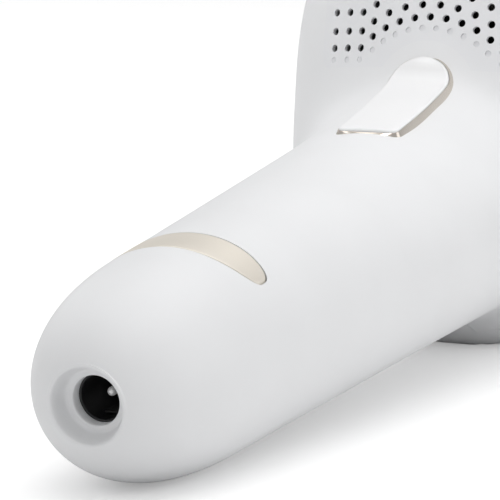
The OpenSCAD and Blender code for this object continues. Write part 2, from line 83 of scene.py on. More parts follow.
@dataclass(frozen=True)
class Finish:
    """One surface finish, made as a procedural material.

    Attributes:
        name: Name of the material.
        color: Base colour, linear RGB.
        roughness: Mean roughness.
        metallic: Metalness, 0 or 1 for most.
        grain_scale: Frequency of the fine grain, per metre.
        grain_depth: Height of the grain, in metres.
        stretch: How many times longer the grain is along each axis.
        rough_spread: How far the roughness wanders round its mean.
        tint_spread: How far the colour wanders, as a fraction.
        coat: Weight of a clear coat.
        coat_roughness: Roughness of that coat.
        transmission: Share of light that passes through.
        ior: Index of refraction.
        glow: Strength of emission in the base colour.
        sheen: Weight of the soft sheen that soft-touch paint has.
    """

    name: str
    color: tuple[float, float, float]
    roughness: float = 0.4
    metallic: float = 0.0
    grain_scale: float = 2600.0
    grain_depth: float = 0.000004
    stretch: tuple[float, float, float] = (1.0, 1.0, 1.0)
    rough_spread: float = 0.04
    tint_spread: float = 0.015
    coat: float = 0.0
    coat_roughness: float = 0.1
    transmission: float = 0.0
    ior: float = 1.5
    glow: float = 0.0
    sheen: float = 0.0

    def material(self) -> bpy.types.Material:
        """Builds the material once and returns it.

        Returns:
            The material: a Principled surface whose roughness and colour
            wander with slow noise and whose fine grain is a bump.
        """
        found = bpy.data.materials.get(self.name)
        if found:
            return found
        mat = bpy.data.materials.new(self.name)
        mat.use_nodes = True
        tree = mat.node_tree
        shader = tree.nodes["Principled BSDF"]
        coords = tree.nodes.new("ShaderNodeTexCoord")
        mapping = tree.nodes.new("ShaderNodeMapping")
        mapping.inputs["Scale"].default_value = tuple(1.0 / s for s in self.stretch)
        tree.links.new(coords.outputs["Object"], mapping.inputs["Vector"])
        self._wander(tree, mapping, shader)
        self._grain(tree, mapping, shader)
        settings = {
            "Metallic": self.metallic, "IOR": self.ior, "Coat Weight": self.coat,
            "Coat Roughness": self.coat_roughness, "Transmission Weight": self.transmission,
            "Sheen Weight": self.sheen, "Sheen Roughness": SHEEN_ROUGHNESS,
        }
        for name, value in settings.items():
            shader.inputs[name].default_value = value
        if self.glow:
            shader.inputs["Emission Color"].default_value = (*self.color, 1.0)
            shader.inputs["Emission Strength"].default_value = self.glow
        return mat

    def _wander(self, tree: bpy.types.NodeTree, mapping: bpy.types.Node,
                shader: bpy.types.Node) -> None:
        """Lets colour and roughness drift with slow noise.

        Args:
            tree: Node tree of the material.
            mapping: Node that gives the coordinates.
            shader: The Principled node.
        """
        noise = tree.nodes.new("ShaderNodeTexNoise")
        noise.inputs["Scale"].default_value = WANDER_SCALE
        noise.inputs["Detail"].default_value = 3.0
        tree.links.new(mapping.outputs["Vector"], noise.inputs["Vector"])
        tint = tree.nodes.new("ShaderNodeValToRGB")
        low = [c * (1.0 - self.tint_spread) for c in self.color]
        high = [min(1.0, c * (1.0 + self.tint_spread)) for c in self.color]
        for stop, place, color in zip(tint.color_ramp.elements, WANDER_BAND, (low, high)):
            stop.position = place
            stop.color = (*color, 1.0)
        tree.links.new(noise.outputs["Fac"], tint.inputs["Fac"])
        tree.links.new(tint.outputs["Color"], shader.inputs["Base Color"])
        rough = tree.nodes.new("ShaderNodeMapRange")
        least = max(LEAST_ROUGHNESS, self.roughness - self.rough_spread)
        most = min(1.0, self.roughness + self.rough_spread)
        for name, value in zip(("From Min", "From Max", "To Min", "To Max"), (*WANDER_BAND, least, most)):
            rough.inputs[name].default_value = value
        tree.links.new(noise.outputs["Fac"], rough.inputs["Value"])
        tree.links.new(rough.outputs["Result"], shader.inputs["Roughness"])

    def _grain(self, tree: bpy.types.NodeTree, mapping: bpy.types.Node,
               shader: bpy.types.Node) -> None:
        """Adds the fine grain as a bump.

        Args:
            tree: Node tree of the material.
            mapping: Node that gives the coordinates.
            shader: The Principled node.
        """
        if not self.grain_depth:
            return
        grain = tree.nodes.new("ShaderNodeTexNoise")
        grain.inputs["Scale"].default_value = self.grain_scale
        grain.inputs["Detail"].default_value = 2.0
        tree.links.new(mapping.outputs["Vector"], grain.inputs["Vector"])
        bump = tree.nodes.new("ShaderNodeBump")
        bump.inputs["Strength"].default_value = GRAIN_STRENGTH
        bump.inputs["Distance"].default_value = self.grain_depth
        tree.links.new(grain.outputs["Fac"], bump.inputs["Height"])
        tree.links.new(bump.outputs["Normal"], shader.inputs["Normal"])


SATIN_WHITE = Finish("satin_white_shell", (0.80, 0.805, 0.815), 0.46, grain_depth=0.000005, sheen=0.08)
GRILLE_WHITE = Finish("satin_white_grille", (0.79, 0.795, 0.81), 0.48, grain_depth=0.000005, sheen=0.08)
CAP_WHITE = Finish(
    "semi_gloss_cap", (0.86, 0.86, 0.865), 0.3, grain_scale=1500, grain_depth=0.000002, coat=0.15,
)
CHAMPAGNE_INLAY = Finish(
    "champagne_inlay", (0.78, 0.73, 0.65), 0.42, metallic=0.5, grain_scale=2400,
    grain_depth=0.000006, stretch=(1.0, 14.0, 1.0), rough_spread=0.06, tint_spread=0.03,
)
CHAMPAGNE_RIM = Finish(
    "champagne_rim", (0.66, 0.61, 0.55), 0.22, metallic=1.0, grain_scale=1800,
    grain_depth=0.000002, rough_spread=0.05, tint_spread=0.03,
)
SOCKET_BLACK = Finish("socket_black", (0.008, 0.008, 0.009), 0.5, grain_depth=0.000008)
# Painted light: the pin's faint glow brightens it in its dark bore, though it is no lamp.
PIN_NICKEL_PAINTED_GLOW = Finish(
    "nickel_contact_painted_glow", (0.90, 0.90, 0.90), 0.4, metallic=0.5, grain_depth=0.000002, glow=0.12,
)
# Painted shade: the plated spring contact is coloured near black so the deep bore reads dark.
SPRING_IN_PAINTED_SHADE = Finish("spring_metal_painted_shade", (0.05, 0.05, 0.05), 0.6, metallic=0.6, grain_depth=0.000002)
SEAL_RUBBER = Finish("seal_rubber", (0.02, 0.02, 0.021), 0.75, grain_depth=0.00001)
MASKED_BOARD = Finish(
    "solder_mask_board", (0.012, 0.10, 0.04), 0.28, grain_scale=900, grain_depth=0.00002, coat=0.3,
)
BLUE_SLEEVE = Finish(
    "capacitor_sleeve", (0.02, 0.035, 0.11), 0.25, grain_scale=500, grain_depth=0.00001, coat=0.2,
)
FERRITE = Finish("ferrite_core", (0.035, 0.035, 0.038), 0.62, grain_depth=0.00002)
COPPER_WIRE = Finish(
    "enamelled_copper", (0.62, 0.24, 0.08), 0.3, metallic=0.9, grain_scale=700,
    grain_depth=0.00008, stretch=(1.0, 8.0, 8.0), tint_spread=0.12,
)
FIN_METAL = Finish("extruded_fins", (0.66, 0.67, 0.68), 0.38, metallic=1.0, stretch=(12.0, 1.0, 1.0))
BRIGHT_TROUGH = Finish("bright_trough", (0.90, 0.91, 0.92), 0.07, metallic=1.0, grain_depth=0.0)
SCREW_STEEL = Finish("screw_steel", (0.42, 0.43, 0.44), 0.32, metallic=1.0, grain_depth=0.000004)
QUARTZ = Finish("quartz_tube", (0.95, 0.97, 1.0), 0.04, transmission=0.9, ior=1.46, grain_depth=0.0)
CUTOFF_FILTER = Finish(
    "cutoff_filter", (0.62, 0.26, 0.05), 0.06, transmission=0.45, grain_depth=0.0, coat=0.6,
)
LAMP_CERAMIC = Finish("lamp_ceramic", (0.80, 0.77, 0.72), 0.6, grain_depth=0.00001)
LIGHT_GUIDE = Finish("frosted_guide", (0.72, 0.80, 0.88), 0.35, transmission=0.4, grain_depth=0.000004)
CHASSIS_GREY = Finish("chassis_grey", (0.36, 0.36, 0.38), 0.5, grain_depth=0.00001)
DARK_LENS = Finish("infrared_lens", (0.03, 0.004, 0.006), 0.08, coat=0.8, grain_depth=0.0)
LAMP_BODY = Finish("heat_resistant_moulding", (0.50, 0.48, 0.44), 0.55, grain_depth=0.00001)
FAN_BLACK = Finish("fan_moulding", (0.015, 0.015, 0.017), 0.42, grain_depth=0.000006)

NODE_FINISHES: dict[str, Finish] = {
    "flash_switch": SOCKET_BLACK,
    "flash_switch_board": MASKED_BOARD,
    "dc_sleeve_spring": SPRING_IN_PAINTED_SHADE,
    "inlet_seal": SEAL_RUBBER,
    "power_switch": SOCKET_BLACK,
    "control_board": MASKED_BOARD,
    "charger_board": MASKED_BOARD,
    "storage_capacitor": BLUE_SLEEVE,
    "transformer_core": FERRITE,
    "transformer_winding": COPPER_WIRE,
    "power_transistor": SOCKET_BLACK,
    "trigger_coil": COPPER_WIRE,
    "head_chassis": CHASSIS_GREY,
    "housing_screws": SCREW_STEEL,
    "screw_plugs": GRILLE_WHITE,
    "fan_frame": FAN_BLACK,
    "fan_rotor": FAN_BLACK,
    "heat_sink": FIN_METAL,
    "lamp_housing": LAMP_BODY,
    "reflector": BRIGHT_TROUGH,
    "flash_lamp": QUARTZ,
    "lamp_end_caps": LAMP_CERAMIC,
    "contact_switches": SOCKET_BLACK,
    "filter_glass": CUTOFF_FILTER,
}


# --------------------------------------------------------------------------
# Mesh helpers
# --------------------------------------------------------------------------

MERGE_DISTANCE = 1e-7

# Faces that meet at more than these angles, in degrees, keep a sharp edge between them.
SHELL_ANGLE = 32.0
TRIM_ANGLE = 40.0
TRIGGER_ANGLE = 50.0

# Points round the small turned pieces.
SOCKET_SIDES = 96
PIN_SIDES = 40
LIGHT_SIDES = 32
WELL_SIDES = 40
LENS_SIDES = 40


def link_mesh(name: str, points: Array, faces: Sequence[Sequence[int]]) -> bpy.types.Object:
    """Makes an object from points and faces.

    Args:
        name: Name of the piece.
        points: Array of vertex places, n by 3.
        faces: Vertex indices of each face.

    Returns:
        The new object, at the origin, with outward normals.
    """
    mesh = bpy.data.meshes.new(name)
    mesh.from_pydata(points.tolist(), [], [list(map(int, f)) for f in faces])
    obj = bpy.data.objects.new(name, mesh)
    bpy.context.scene.collection.objects.link(obj)
    turn_outwards(mesh)
    return obj


def turn_outwards(mesh: bpy.types.Mesh) -> None:
    """Merges doubles and points every face outwards."""
    work = bmesh.new()
    work.from_mesh(mesh)
    bmesh.ops.remove_doubles(work, verts=work.verts, dist=MERGE_DISTANCE)
    bmesh.ops.recalc_face_normals(work, faces=work.faces)
    work.to_mesh(mesh)
    work.free()


def grid_faces(rows: int, cols: int, around: bool = True, along: bool = False) -> list[tuple[int, ...]]:
    """Quads of a grid of vertices stored row by row.

    Args:
        rows: Number of rows.
        cols: Number of columns.
        around: Whether each row closes on itself.
        along: Whether the last row joins the first.

    Returns:
        A list of four-corner faces.
    """
    r = np.arange(rows if along else rows - 1)
    c = np.arange(cols if around else cols - 1)
    rr, cc = np.meshgrid(r, c, indexing="ij")
    r1, c1 = (rr + 1) % rows, (cc + 1) % cols
    quads = np.stack([rr * cols + cc, rr * cols + c1, r1 * cols + c1, r1 * cols + cc], axis=-1)
    return [tuple(q) for q in quads.reshape(-1, 4).tolist()]


def capped_tube(name: str, rings: Array) -> bpy.types.Object:
    """Closed solid through rings of points, with a pole at each end.

    Args:
        name: Name of the piece.
        rings: Array of ring points, rings by points by 3.

    Returns:
        The new object.
    """
    n, m = rings.shape[:2]
    points = rings.reshape(-1, 3)
    faces: list[tuple[int, ...]] = grid_faces(n, m)
    for row in (0, n - 1):
        points = np.vstack([points, rings[row].mean(axis=0)])
        pole = len(points) - 1
        faces += [(row * m + i, row * m + (i + 1) % m, pole) for i in range(m)]
    return link_mesh(name, points, faces)


def closed_band(name: str, rings: Array) -> bpy.types.Object:
    """Solid ring: closed sections, and the last section joins the first.

    Args:
        name: Name of the piece.
        rings: Array of section points, sections by points by 3.

    Returns:
        The new object.
    """
    n, m = rings.shape[:2]
    return link_mesh(name, rings.reshape(-1, 3), grid_faces(n, m, True, True))


def smooth(obj: bpy.types.Object, angle: float = SHELL_ANGLE) -> None:
    """Shades an object smooth with sharp edges past an angle in degrees."""
    obj.data.shade_smooth()
    obj.data.set_sharp_from_angle(angle=math.radians(angle))


def evaluated(obj: bpy.types.Object) -> None:
    """Bakes an object's modifiers into its mesh."""
    graph = bpy.context.evaluated_depsgraph_get()
    mesh = bpy.data.meshes.new_from_object(obj.evaluated_get(graph))
    obj.modifiers.clear()
    obj.data = mesh


class Cut(str, Enum):
    """Ways to combine two closed solids."""

    AWAY = "DIFFERENCE"
    COMMON = "INTERSECT"
    JOIN = "UNION"


def combine(obj: bpy.types.Object, cutter: bpy.types.Object, how: Cut = Cut.AWAY) -> None:
    """Combines an object with a closed cutter, which is then removed.

    Args:
        obj: The object that changes.
        cutter: The closed solid that it is combined with.
        how: Whether the cutter is taken away, kept in common or joined.
    """
    mod = obj.modifiers.new("cut", "BOOLEAN")
    mod.operation = how.value
    mod.solver = "MANIFOLD"
    mod.object = cutter
    evaluated(obj)
    bpy.data.objects.remove(cutter, do_unlink=True)


def twin(obj: bpy.types.Object) -> bpy.types.Object:
    """Copies an object with a mesh of its own and links the copy."""
    other = obj.copy()
    other.data = obj.data.copy()
    bpy.context.scene.collection.objects.link(other)
    return other


def turned(name: str, foot: Array, axis: Array, profile: Array, count: int = 64) -> bpy.types.Object:
    """Body of revolution about an axis.

    Args:
        name: Name of the object.
        foot: Point on the axis where the profile's height is 0.
        axis: Unit direction of growing height.
        profile: Pairs of height and radius.
        count: Points round.

    Returns:
        The closed object.
    """
    v = np.linspace(0, 2 * math.pi, count, endpoint=False)
    ring = np.cos(v)[:, None] * ACROSS + np.sin(v)[:, None] * np.cross(axis, ACROSS)
    return capped_tube(name, foot + profile[:, :1, None] * axis + profile[:, 1:, None] * ring[None])


def quarter(count: int) -> Array:
    """Angles of a quarter turn, evenly spaced."""
    return np.linspace(*QUARTER, count)


def dress(obj: bpy.types.Object, finish: Finish, body: Body, slot: str, *nodes: str) -> None:
    """Gives a piece its finish and its body, and hides the nodes it replaces.

    Args:
        obj: The piece.
        finish: Its finish.
        body: The body that it rides on.
        slot: The record's material slot; not used.
        *nodes: CAD nodes that it stands for.
    """
    obj.data.materials.clear()
    obj.data.materials.append(finish.material())
    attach(obj, body.value)
    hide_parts(*nodes)
    LOG.info("piece %s: %d faces on %s", obj.name, len(obj.data.polygons), body.value)


def ease(t: Array) -> Array:
    """Smooth step: 3 t squared less 2 t cubed."""
    return t * t * (3.0 - 2.0 * t)


def curve_through(knots: Sequence[tuple[float, float]], steps: int) -> Array:
    """Smooth planar curve through a few knots.

    A Catmull-Rom spline: each span is the cubic whose end slopes are half
    the chord between the knots on either side.

    Args:
        knots: Points of the curve.
        steps: Number of points in each span.

    Returns:
        Points along the curve, n by 2.
    """
    k = np.asarray(knots, float)
    ends = np.vstack([2 * k[0] - k[1], k, 2 * k[-1] - k[-2]])
    t = np.linspace(0.0, 1.0, steps, endpoint=False)[:, None]
    spans = []
    for a, b, c, d in zip(ends[:-3], ends[1:-2], ends[2:-1], ends[3:]):
        square, cube = 2 * a - 5 * b + 4 * c - d, 3 * b - a - 3 * c + d
        spans.append(0.5 * (2 * b + (c - a) * t + square * t**2 + cube * t**3))
    return np.vstack(spans + [k[-1:]])


# --------------------------------------------------------------------------
# Outer form
# --------------------------------------------------------------------------


FLARE_SPAN = 100 * MM
LEVEL = 1e-4


@dataclass
class BodyForm:
    """Outer form of the handset: a tilted, flared bar blended into an egg.

    Attributes:
        length: From the handle's end to the far side of the head.
        handle_r: Radius of the handle near its end.
        flare_y: How much the half width grows in 100 mm.
        flare_z: How much the half height grows in 100 mm.
        flare_from: Where the flare starts along the axis.
        flare_soft: Softness of that start.
        tilt: Slope of the handle's axis, in radians.
        nose_len: Length of the rounded end.
        nose_power: Fullness of the rounded end.
        head_a: Half depth of the head.
        head_b: Half width of the head.
        head_h: Half height of the whole egg.
        egg_power: Fullness of the egg.
        mouth_z: Height of the head's open mouth.
        blend: Reach of the blend between bar and egg.
        saddle: How much farther it reaches along the middle.
        saddle_w: How wide that middle is.
        swell: Height of the swelling of the corner beside the trigger.
        swell_at: Its place along and up.
        swell_r: Its reach.
        base_cut: Height of the egg that is flattened off below.
        bar_end: Where the bar ends inside the head, along its axis.
        fan_x: Place of the corner that the sections fan about.
        fan_z: Height of that corner.
        inlet_up: Height of the inlet's axis over the handle's.
        reach_max: Farthest that the surface is looked for from a centre.
        halvings: How many times the span of that search is halved.
    """

    length: float = 194 * MM
    handle_r: float = 17.9 * MM
    flare_y: float = 9.0 * MM
    flare_z: float = 2.9 * MM
    flare_from: float = 20 * MM
    flare_soft: float = 10 * MM
    tilt: float = math.radians(5.8)
    nose_len: float = 32 * MM
    nose_power: float = 2.4
    head_a: float = 26.3 * MM
    head_b: float = 37.4 * MM
    head_h: float = 50.0 * MM
    egg_power: float = 2.25
    mouth_z: float = 84 * MM
    blend: float = 16 * MM
    saddle: float = 6 * MM
    saddle_w: float = 13 * MM
    swell: float = 1.25 * MM
    swell_at: tuple[float, float] = (31.5 * MM, 51 * MM)
    swell_r: float = 8 * MM
    base_cut: float = 0.9 * MM
    bar_end: float = 135 * MM
    fan_x: float = 11 * MM
    fan_z: float = 70 * MM
    inlet_up: float = 0.3 * MM
    reach_max: float = 75 * MM
    halvings: int = 34

    def __post_init__(self) -> None:
        """Works out the places that follow from the sizes."""
        self.tip_x = -self.length / 2
        self.head_x = self.length / 2 - self.head_a
        self.head_zc = self.head_h - self.base_cut
        s = np.linspace(0.4, 1.0, 200) * self.nose_len
        deep = self.nose_r(s) * self.half_h(s) / self.handle_r
        self.tip_z = float(np.max(deep * math.cos(self.tilt) - s * math.sin(self.tilt)))
        self.along = np.array([math.cos(self.tilt), 0.0, math.sin(self.tilt)])
        self.above = np.array([-math.sin(self.tilt), 0.0, math.cos(self.tilt)])
        self.tip = np.array([self.tip_x, 0.0, self.tip_z])
        corner = np.array([self.fan_x, 0.0, self.fan_z]) - self.tip
        self.fan_s = float(corner @ self.along)
        self.fan_near = float(corner @ self.above)
        self.fan_far = self.head_x - self.fan_x
        q = ((self.mouth_z - self.head_zc) / self.head_h) ** self.egg_power
        self.mouth_part = (1.0 - q) ** (1.0 / self.egg_power)

    def ramp(self, s: Array) -> Array:
        """Soft ramp: half of d plus the root of d squared and softness squared."""
        d = s - self.flare_from
        return (d + np.hypot(d, self.flare_soft)) / (2 * FLARE_SPAN)

    def half_w(self, s: Array) -> Array:
        """Half width of the handle at distance s from its tip."""
        return self.handle_r + self.flare_y * self.ramp(s)

    def half_h(self, s: Array) -> Array:
        """Half height of the handle at distance s from its tip."""
        return self.handle_r + self.flare_z * self.ramp(s)

    def nose_r(self, s: Array) -> Array:
        """Radius of the rounded end at distance s from its tip."""
        q = 1.0 - np.clip(s, 0.0, self.nose_len) / self.nose_len
        return self.handle_r * (1.0 - q**self.nose_power) ** (1.0 / self.nose_power)

    def egg(self, p: Array) -> Array:
        """Egg field: the superellipsoid's norm less one, times half depth."""
        n = self.egg_power
        q = (
            np.abs((p[..., 0] - self.head_x) / self.head_a) ** n
            + np.abs(p[..., 1] / self.head_b) ** n
            + np.abs((p[..., 2] - self.head_zc) / self.head_h) ** n
        )
        return self.head_a * (q ** (1.0 / n) - 1.0)

    def bar(self, p: Array) -> Array:
        """Handle field: a flared bar along the axis with superellipse ends."""
        d = p - self.tip
        s, w = d @ self.along, d @ self.above
        q = np.maximum(np.maximum(self.nose_len - s, s - self.bar_end), 0.0) / self.nose_len
        r = np.hypot(d[..., 1] / self.half_w(s), w / self.half_h(s))
        m = self.nose_power
        return self.handle_r * ((q**m + r**m) ** (1.0 / m) - 1.0)

    def field(self, p: Array) -> Array:
        """Cubic smooth union: the lesser field less h cubed of the reach k.

        The reach is a bell curve across the handle, widest in the middle,
        and a bell-shaped swelling fills the corner beside the trigger.
        """
        e, b = self.egg(p), self.bar(p)
        across = (p[..., 1] / self.saddle_w) ** 2
        k = self.blend + self.saddle * np.exp(-across)
        h = np.clip(k - np.abs(e - b), 0.0, None) / k
        far = ((p[..., 0] - self.swell_at[0]) ** 2 + (p[..., 2] - self.swell_at[1]) ** 2) / self.swell_r**2
        return np.minimum(e, b) - h**3 * k / 6.0 - self.swell * np.exp(-far - across)

    def reach(self, c: Array, d: Array, inset: float) -> Array:
        """Distance from c along d to the surface, found by halving.

        Args:
            c: Start points.
            d: Unit directions, the same shape.
            inset: How far inside the outer surface.

        Returns:
            Distances, one for each direction.
        """
        lo = np.zeros(d.shape[:-1])
        hi = np.full(d.shape[:-1], self.reach_max)
        for _ in range(self.halvings):
            mid = 0.5 * (lo + hi)
            inside = self.field(c + mid[..., None] * d) < -inset
            lo, hi = np.where(inside, mid, lo), np.where(inside, hi, mid)
        return 0.5 * (lo + hi)

    def skin(self, c: Array, d: Array, inset: float) -> Array:
        """Surface points along directions, stopped at the flat base.

        Args:
            c: Start points.
            d: Unit directions.
            inset: How far inside the outer surface.

        Returns:
            Points on the surface.
        """
        t = self.reach(c, d, inset)
        down = np.maximum(-d[..., 2], LEVEL)
        floor = np.where(d[..., 2] < -LEVEL, (c[..., 2] - inset) / down, self.reach_max)
        return c + np.minimum(t, floor)[..., None] * d

    def rings(self, centres: Array, slopes: Array, count: int, inset: float) -> Array:
        """Rings of surface points round a row of centres.

        In each section plane the direction at angle v is cos v across and
        sin v along the plane's own up direction.

        Args:
            centres: Section centres, n by 3.
            slopes: Slope of each section's normal, in radians.
            count: Points in each ring.
            inset: How far inside the outer surface.

        Returns:
            Array of points, n by count by 3.
        """
        v = np.linspace(0.0, 2 * math.pi, count, endpoint=False)
        up = np.stack([-np.sin(slopes), 0 * slopes, np.cos(slopes)], axis=-1)
        d = np.cos(v)[None, :, None] * ACROSS + np.sin(v)[None, :, None] * up[:, None, :]
        c = np.broadcast_to(centres[:, None, :], d.shape)
        return self.skin(c, d, inset)

    def spine(self, start: float, counts: tuple[int, int, int, int], top: float) -> tuple[Array, Array]:
        """Centres and slopes of the sections from handle end to mouth.

        The sections run square to the handle's axis, fan about the corner in
        front of the trigger, and end level across the head.

        Args:
            start: Distance of the first section from the tip.
            counts: Sections in the nose, the handle, the fan and the head.
            top: Height of the last section.

        Returns:
            Centres, n by 3, and slopes in radians.
        """
        nose, bar, fan, head = counts
        turn = 1.0 - np.cos(np.linspace(*QUARTER, nose, endpoint=False))
        round_end = start + (self.nose_len - start) * turn
        s = np.concatenate([round_end, np.linspace(self.nose_len, self.fan_s, bar)])
        straight = self.tip + s[:, None] * self.along
        t = np.linspace(0.0, 1.0, fan + 1)[1:]
        a = self.tilt + (HALF_PI - self.tilt) * t
        r = self.fan_near + (self.fan_far - self.fan_near) * ease(t)
        bend = np.stack([self.fan_x + r * np.sin(a), 0 * a, self.fan_z - r * np.cos(a)], axis=-1)
        z = np.linspace(self.fan_z, top, head + 1)[1:]
        rise = np.stack([np.full_like(z, self.head_x), 0 * z, z], axis=-1)
        slopes = np.concatenate([np.full(len(s), self.tilt), a, np.full(len(z), HALF_PI)])
        return np.vstack([straight, bend, rise]), slopes

    def axis_rings(self, profile: Array, count: int) -> Array:
        """Rings round the inlet's axis for a profile of (s, r) pairs."""
        v = np.linspace(0.0, 2 * math.pi, count, endpoint=False)
        around = np.cos(v)[:, None] * ACROSS + np.sin(v)[:, None] * self.above
        centre = self.tip + self.inlet_up * self.above + profile[:, :1] * self.along
        return centre[:, None, :] + profile[:, 1][:, None, None] * around[None, :, :]

    def surface_from(self, p: Array, d: Array, back: float) -> Array:
        """Outer surface points met from p, looking along d.

        Args:
            p: Points near the surface.
            d: Outward direction, one for all.
            back: How far inside the search starts.

        Returns:
            Points on the outer surface.
        """
        d = np.broadcast_to(np.asarray(d, float), p.shape)
        c = p - back * d
        return c + self.reach(c, d, 0.0)[..., None] * d

    def normal(self, p: Array) -> Array:
        """Outward unit normals, by central differences of the field."""
        steps = np.eye(3) * NEAR_ZERO
        g = np.stack([self.field(p + e) - self.field(p - e) for e in steps], axis=-1)
        return g / np.linalg.norm(g, axis=-1, keepdims=True)


# --------------------------------------------------------------------------
# Housings
# --------------------------------------------------------------------------


@dataclass
class Housing:
    """Moulded shells: front housing, back cover and vent grille.

    Attributes:
        form: The outer form.
        wall: Wall thickness.
        around: Points round each outer ring.
        strip_w: Width of the back cover along the handle.
        strip_start: Where that strip starts, from the handle's end.
        cover_a: Half depth of the back cover on the head.
        cover_b: Half width of the back cover on the head.
        cover_low: Foot of the solid that parts the back cover off.
        cover_high: Top of that solid.
        seam: Width of the parting gap.
        hole_profile: Socket's bore in the shell, along and radius, in mm.
        recess_knots: Recess in the rounded end, along and radius, in mm.
        lip_r: Radius at which the rounded end meets the recess.
        outer_counts: Sections of the outside in nose, handle, fan and head.
        inner_counts: The same for the hollow.
        inner_start: Where the hollow starts along the axis.
        inner_around: Points round each ring of the hollow.
    """

    form: BodyForm
    wall: float = 2 * MM
    around: int = 168
    strip_w: float = 14 * MM
    strip_start: float = 34 * MM
    cover_a: float = 17 * MM
    cover_b: float = 25 * MM
    cover_low: float = -5 * MM
    cover_high: float = 18 * MM
    seam: float = 0.12 * MM
    hole_profile: tuple[tuple[float, float], ...] = ((14, 5.5), (6.3, 5.5), (6.3, 4.0))
    recess_knots: tuple[tuple[float, float], ...] = (
        (1.18, 6.75), (1.12, 6.45), (1.28, 6.18), (1.75, 5.98), (2.6, 5.72), (3.4, 5.45), (4.0, 5.22),
        (4.26, 5.0), (4.33, 4.7), (4.33, 4.3), (4.38, 4.1), (4.55, 4.0),
    )
    lip_r: float = 7 * MM
    outer_counts: tuple[int, int, int, int] = (34, 46, 96, 16)
    inner_counts: tuple[int, int, int, int] = (14, 24, 48, 9)
    inner_start: float = 10.5 * MM
    inner_around: int = 96

    def outer(self) -> bpy.types.Object:
        """Closed outer solid, with the inlet's recess and hole sunk in it.

        Returns:
            The outer solid: recess profile, rounded end, handle, fan, head.
        """
        form = self.form
        recess = curve_through([(s * MM, r * MM) for s, r in self.recess_knots], 4)
        profile = np.vstack([np.array(self.hole_profile) * MM, recess[::-1]])
        near_tip = np.linspace(0, 6 * MM, 600)
        start = float(np.interp(self.lip_r, form.nose_r(near_tip), near_tip))
        lip = form.axis_rings(profile, self.around)
        centres, slopes = form.spine(start, self.outer_counts, form.mouth_z)
        shell = form.rings(centres, slopes, self.around, 0.0)
        return capped_tube("outer", np.concatenate([lip, shell]))

    def inner(self, wall: float) -> bpy.types.Object:
        """Closed solid of the hollow inside a wall of the given thickness."""
        top = self.form.mouth_z + self.wall
        centres, slopes = self.form.spine(self.inner_start, self.inner_counts, top)
        return capped_tube("inner", self.form.rings(centres, slopes, self.inner_around, wall))

    def spoon(self, grow: float) -> bpy.types.Object:
        """Upright prism on the back cover's spoon outline.

        Args:
            grow: How far the outline is grown.

        Returns:
            The prism: an oval on the head joined to a strip with a round end.
        """
        form = self.form
        v = np.linspace(0, 2 * math.pi, 160, endpoint=False)
        n = 2.0 / form.egg_power
        oval = np.stack([
            form.head_x + (self.cover_a + grow) * np.sign(np.cos(v)) * np.abs(np.cos(v)) ** n,
            (self.cover_b + grow) * np.sign(np.sin(v)) * np.abs(np.sin(v)) ** n,
        ], axis=-1)
        w = self.strip_w / 2 + grow
        left = form.tip_x + self.strip_start
        q = np.linspace(HALF_PI, 3 * HALF_PI, 40)
        strip = np.vstack([
            np.stack([left + w * np.cos(q), w * np.sin(q)], axis=-1),
            [[form.head_x, -w], [form.head_x, w]],
        ])
        head = prism("spoon", oval, self.cover_low, self.cover_high)
        combine(head, prism("spoon_strip", strip, self.cover_low, self.cover_high), Cut.JOIN)
        return head

    def build(self, cutters: Iterable[bpy.types.Object], vent: "VentGrille") -> None:
        """Builds the three shells.

        Args:
            cutters: Closed solids to take out of the front housing.
            vent: The vent grille's layout.
        """
        shell, hollow, thin = self.outer(), self.inner(self.wall), self.inner(vent.panel_t)
        combine(shell, hollow)
        back, grille = twin(shell), twin(shell)
        combine(shell, self.spoon(self.seam))
        combine(back, self.spoon(0.0), Cut.COMMON)
        for cutter in (*cutters, vent.block()):
            combine(shell, cutter)
        combine(grille, vent.block(), Cut.COMMON)
        for cutter in (thin, vent.holes(), vent.dimples()):
            combine(grille, cutter)
        for obj, name in ((shell, "front_shell"), (back, "back_cover_shell"), (grille, "vent_panel")):
            obj.name = obj.data.name = name
            smooth(obj)
        self.bore_back(back)
        dress(shell, SATIN_WHITE, Body.ROOT, "shell_white", "front_housing")
        dress(back, SATIN_WHITE, Body.ROOT, "shell_white", "back_cover")
        dress(grille, GRILLE_WHITE, Body.ROOT, "shell_white", "vent_grille")

    def bore_back(self, back: bpy.types.Object) -> None:
        """Cuts the key, light and screw holes in the back cover."""
        for obj in BackControls(self.form).cutters():
            combine(back, obj)
        smooth(back)


def prism(name: str, outline: Array, low: float, high: float) -> bpy.types.Object:
    """Upright prism on a closed outline.

    Args:
        name: Name of the object.
        outline: Corner points, n by 2.
        low: Height of the foot.
        high: Height of the top.

    Returns:
        The closed prism.
    """
    n = len(outline)
    levels = [np.column_stack([outline, np.full(n, z)]) for z in (low, high)]
    return capped_tube(name, np.stack(levels))


def placed(points: Array, origin: Array, x_axis: Array, z_axis: Array) -> Array:
    """Carries local points into the frame.

    Args:
        points: Local points, any shape ending in 3.
        origin: Place of the local origin.
        x_axis: Direction of local X.
        z_axis: Direction of local Z.

    Returns:
        Points in the frame.
    """
    y_axis = np.cross(z_axis, x_axis)
    return origin + points[..., :1] * x_axis + points[..., 1:2] * y_axis + points[..., 2:3] * z_axis


PEG_SIDES = 16


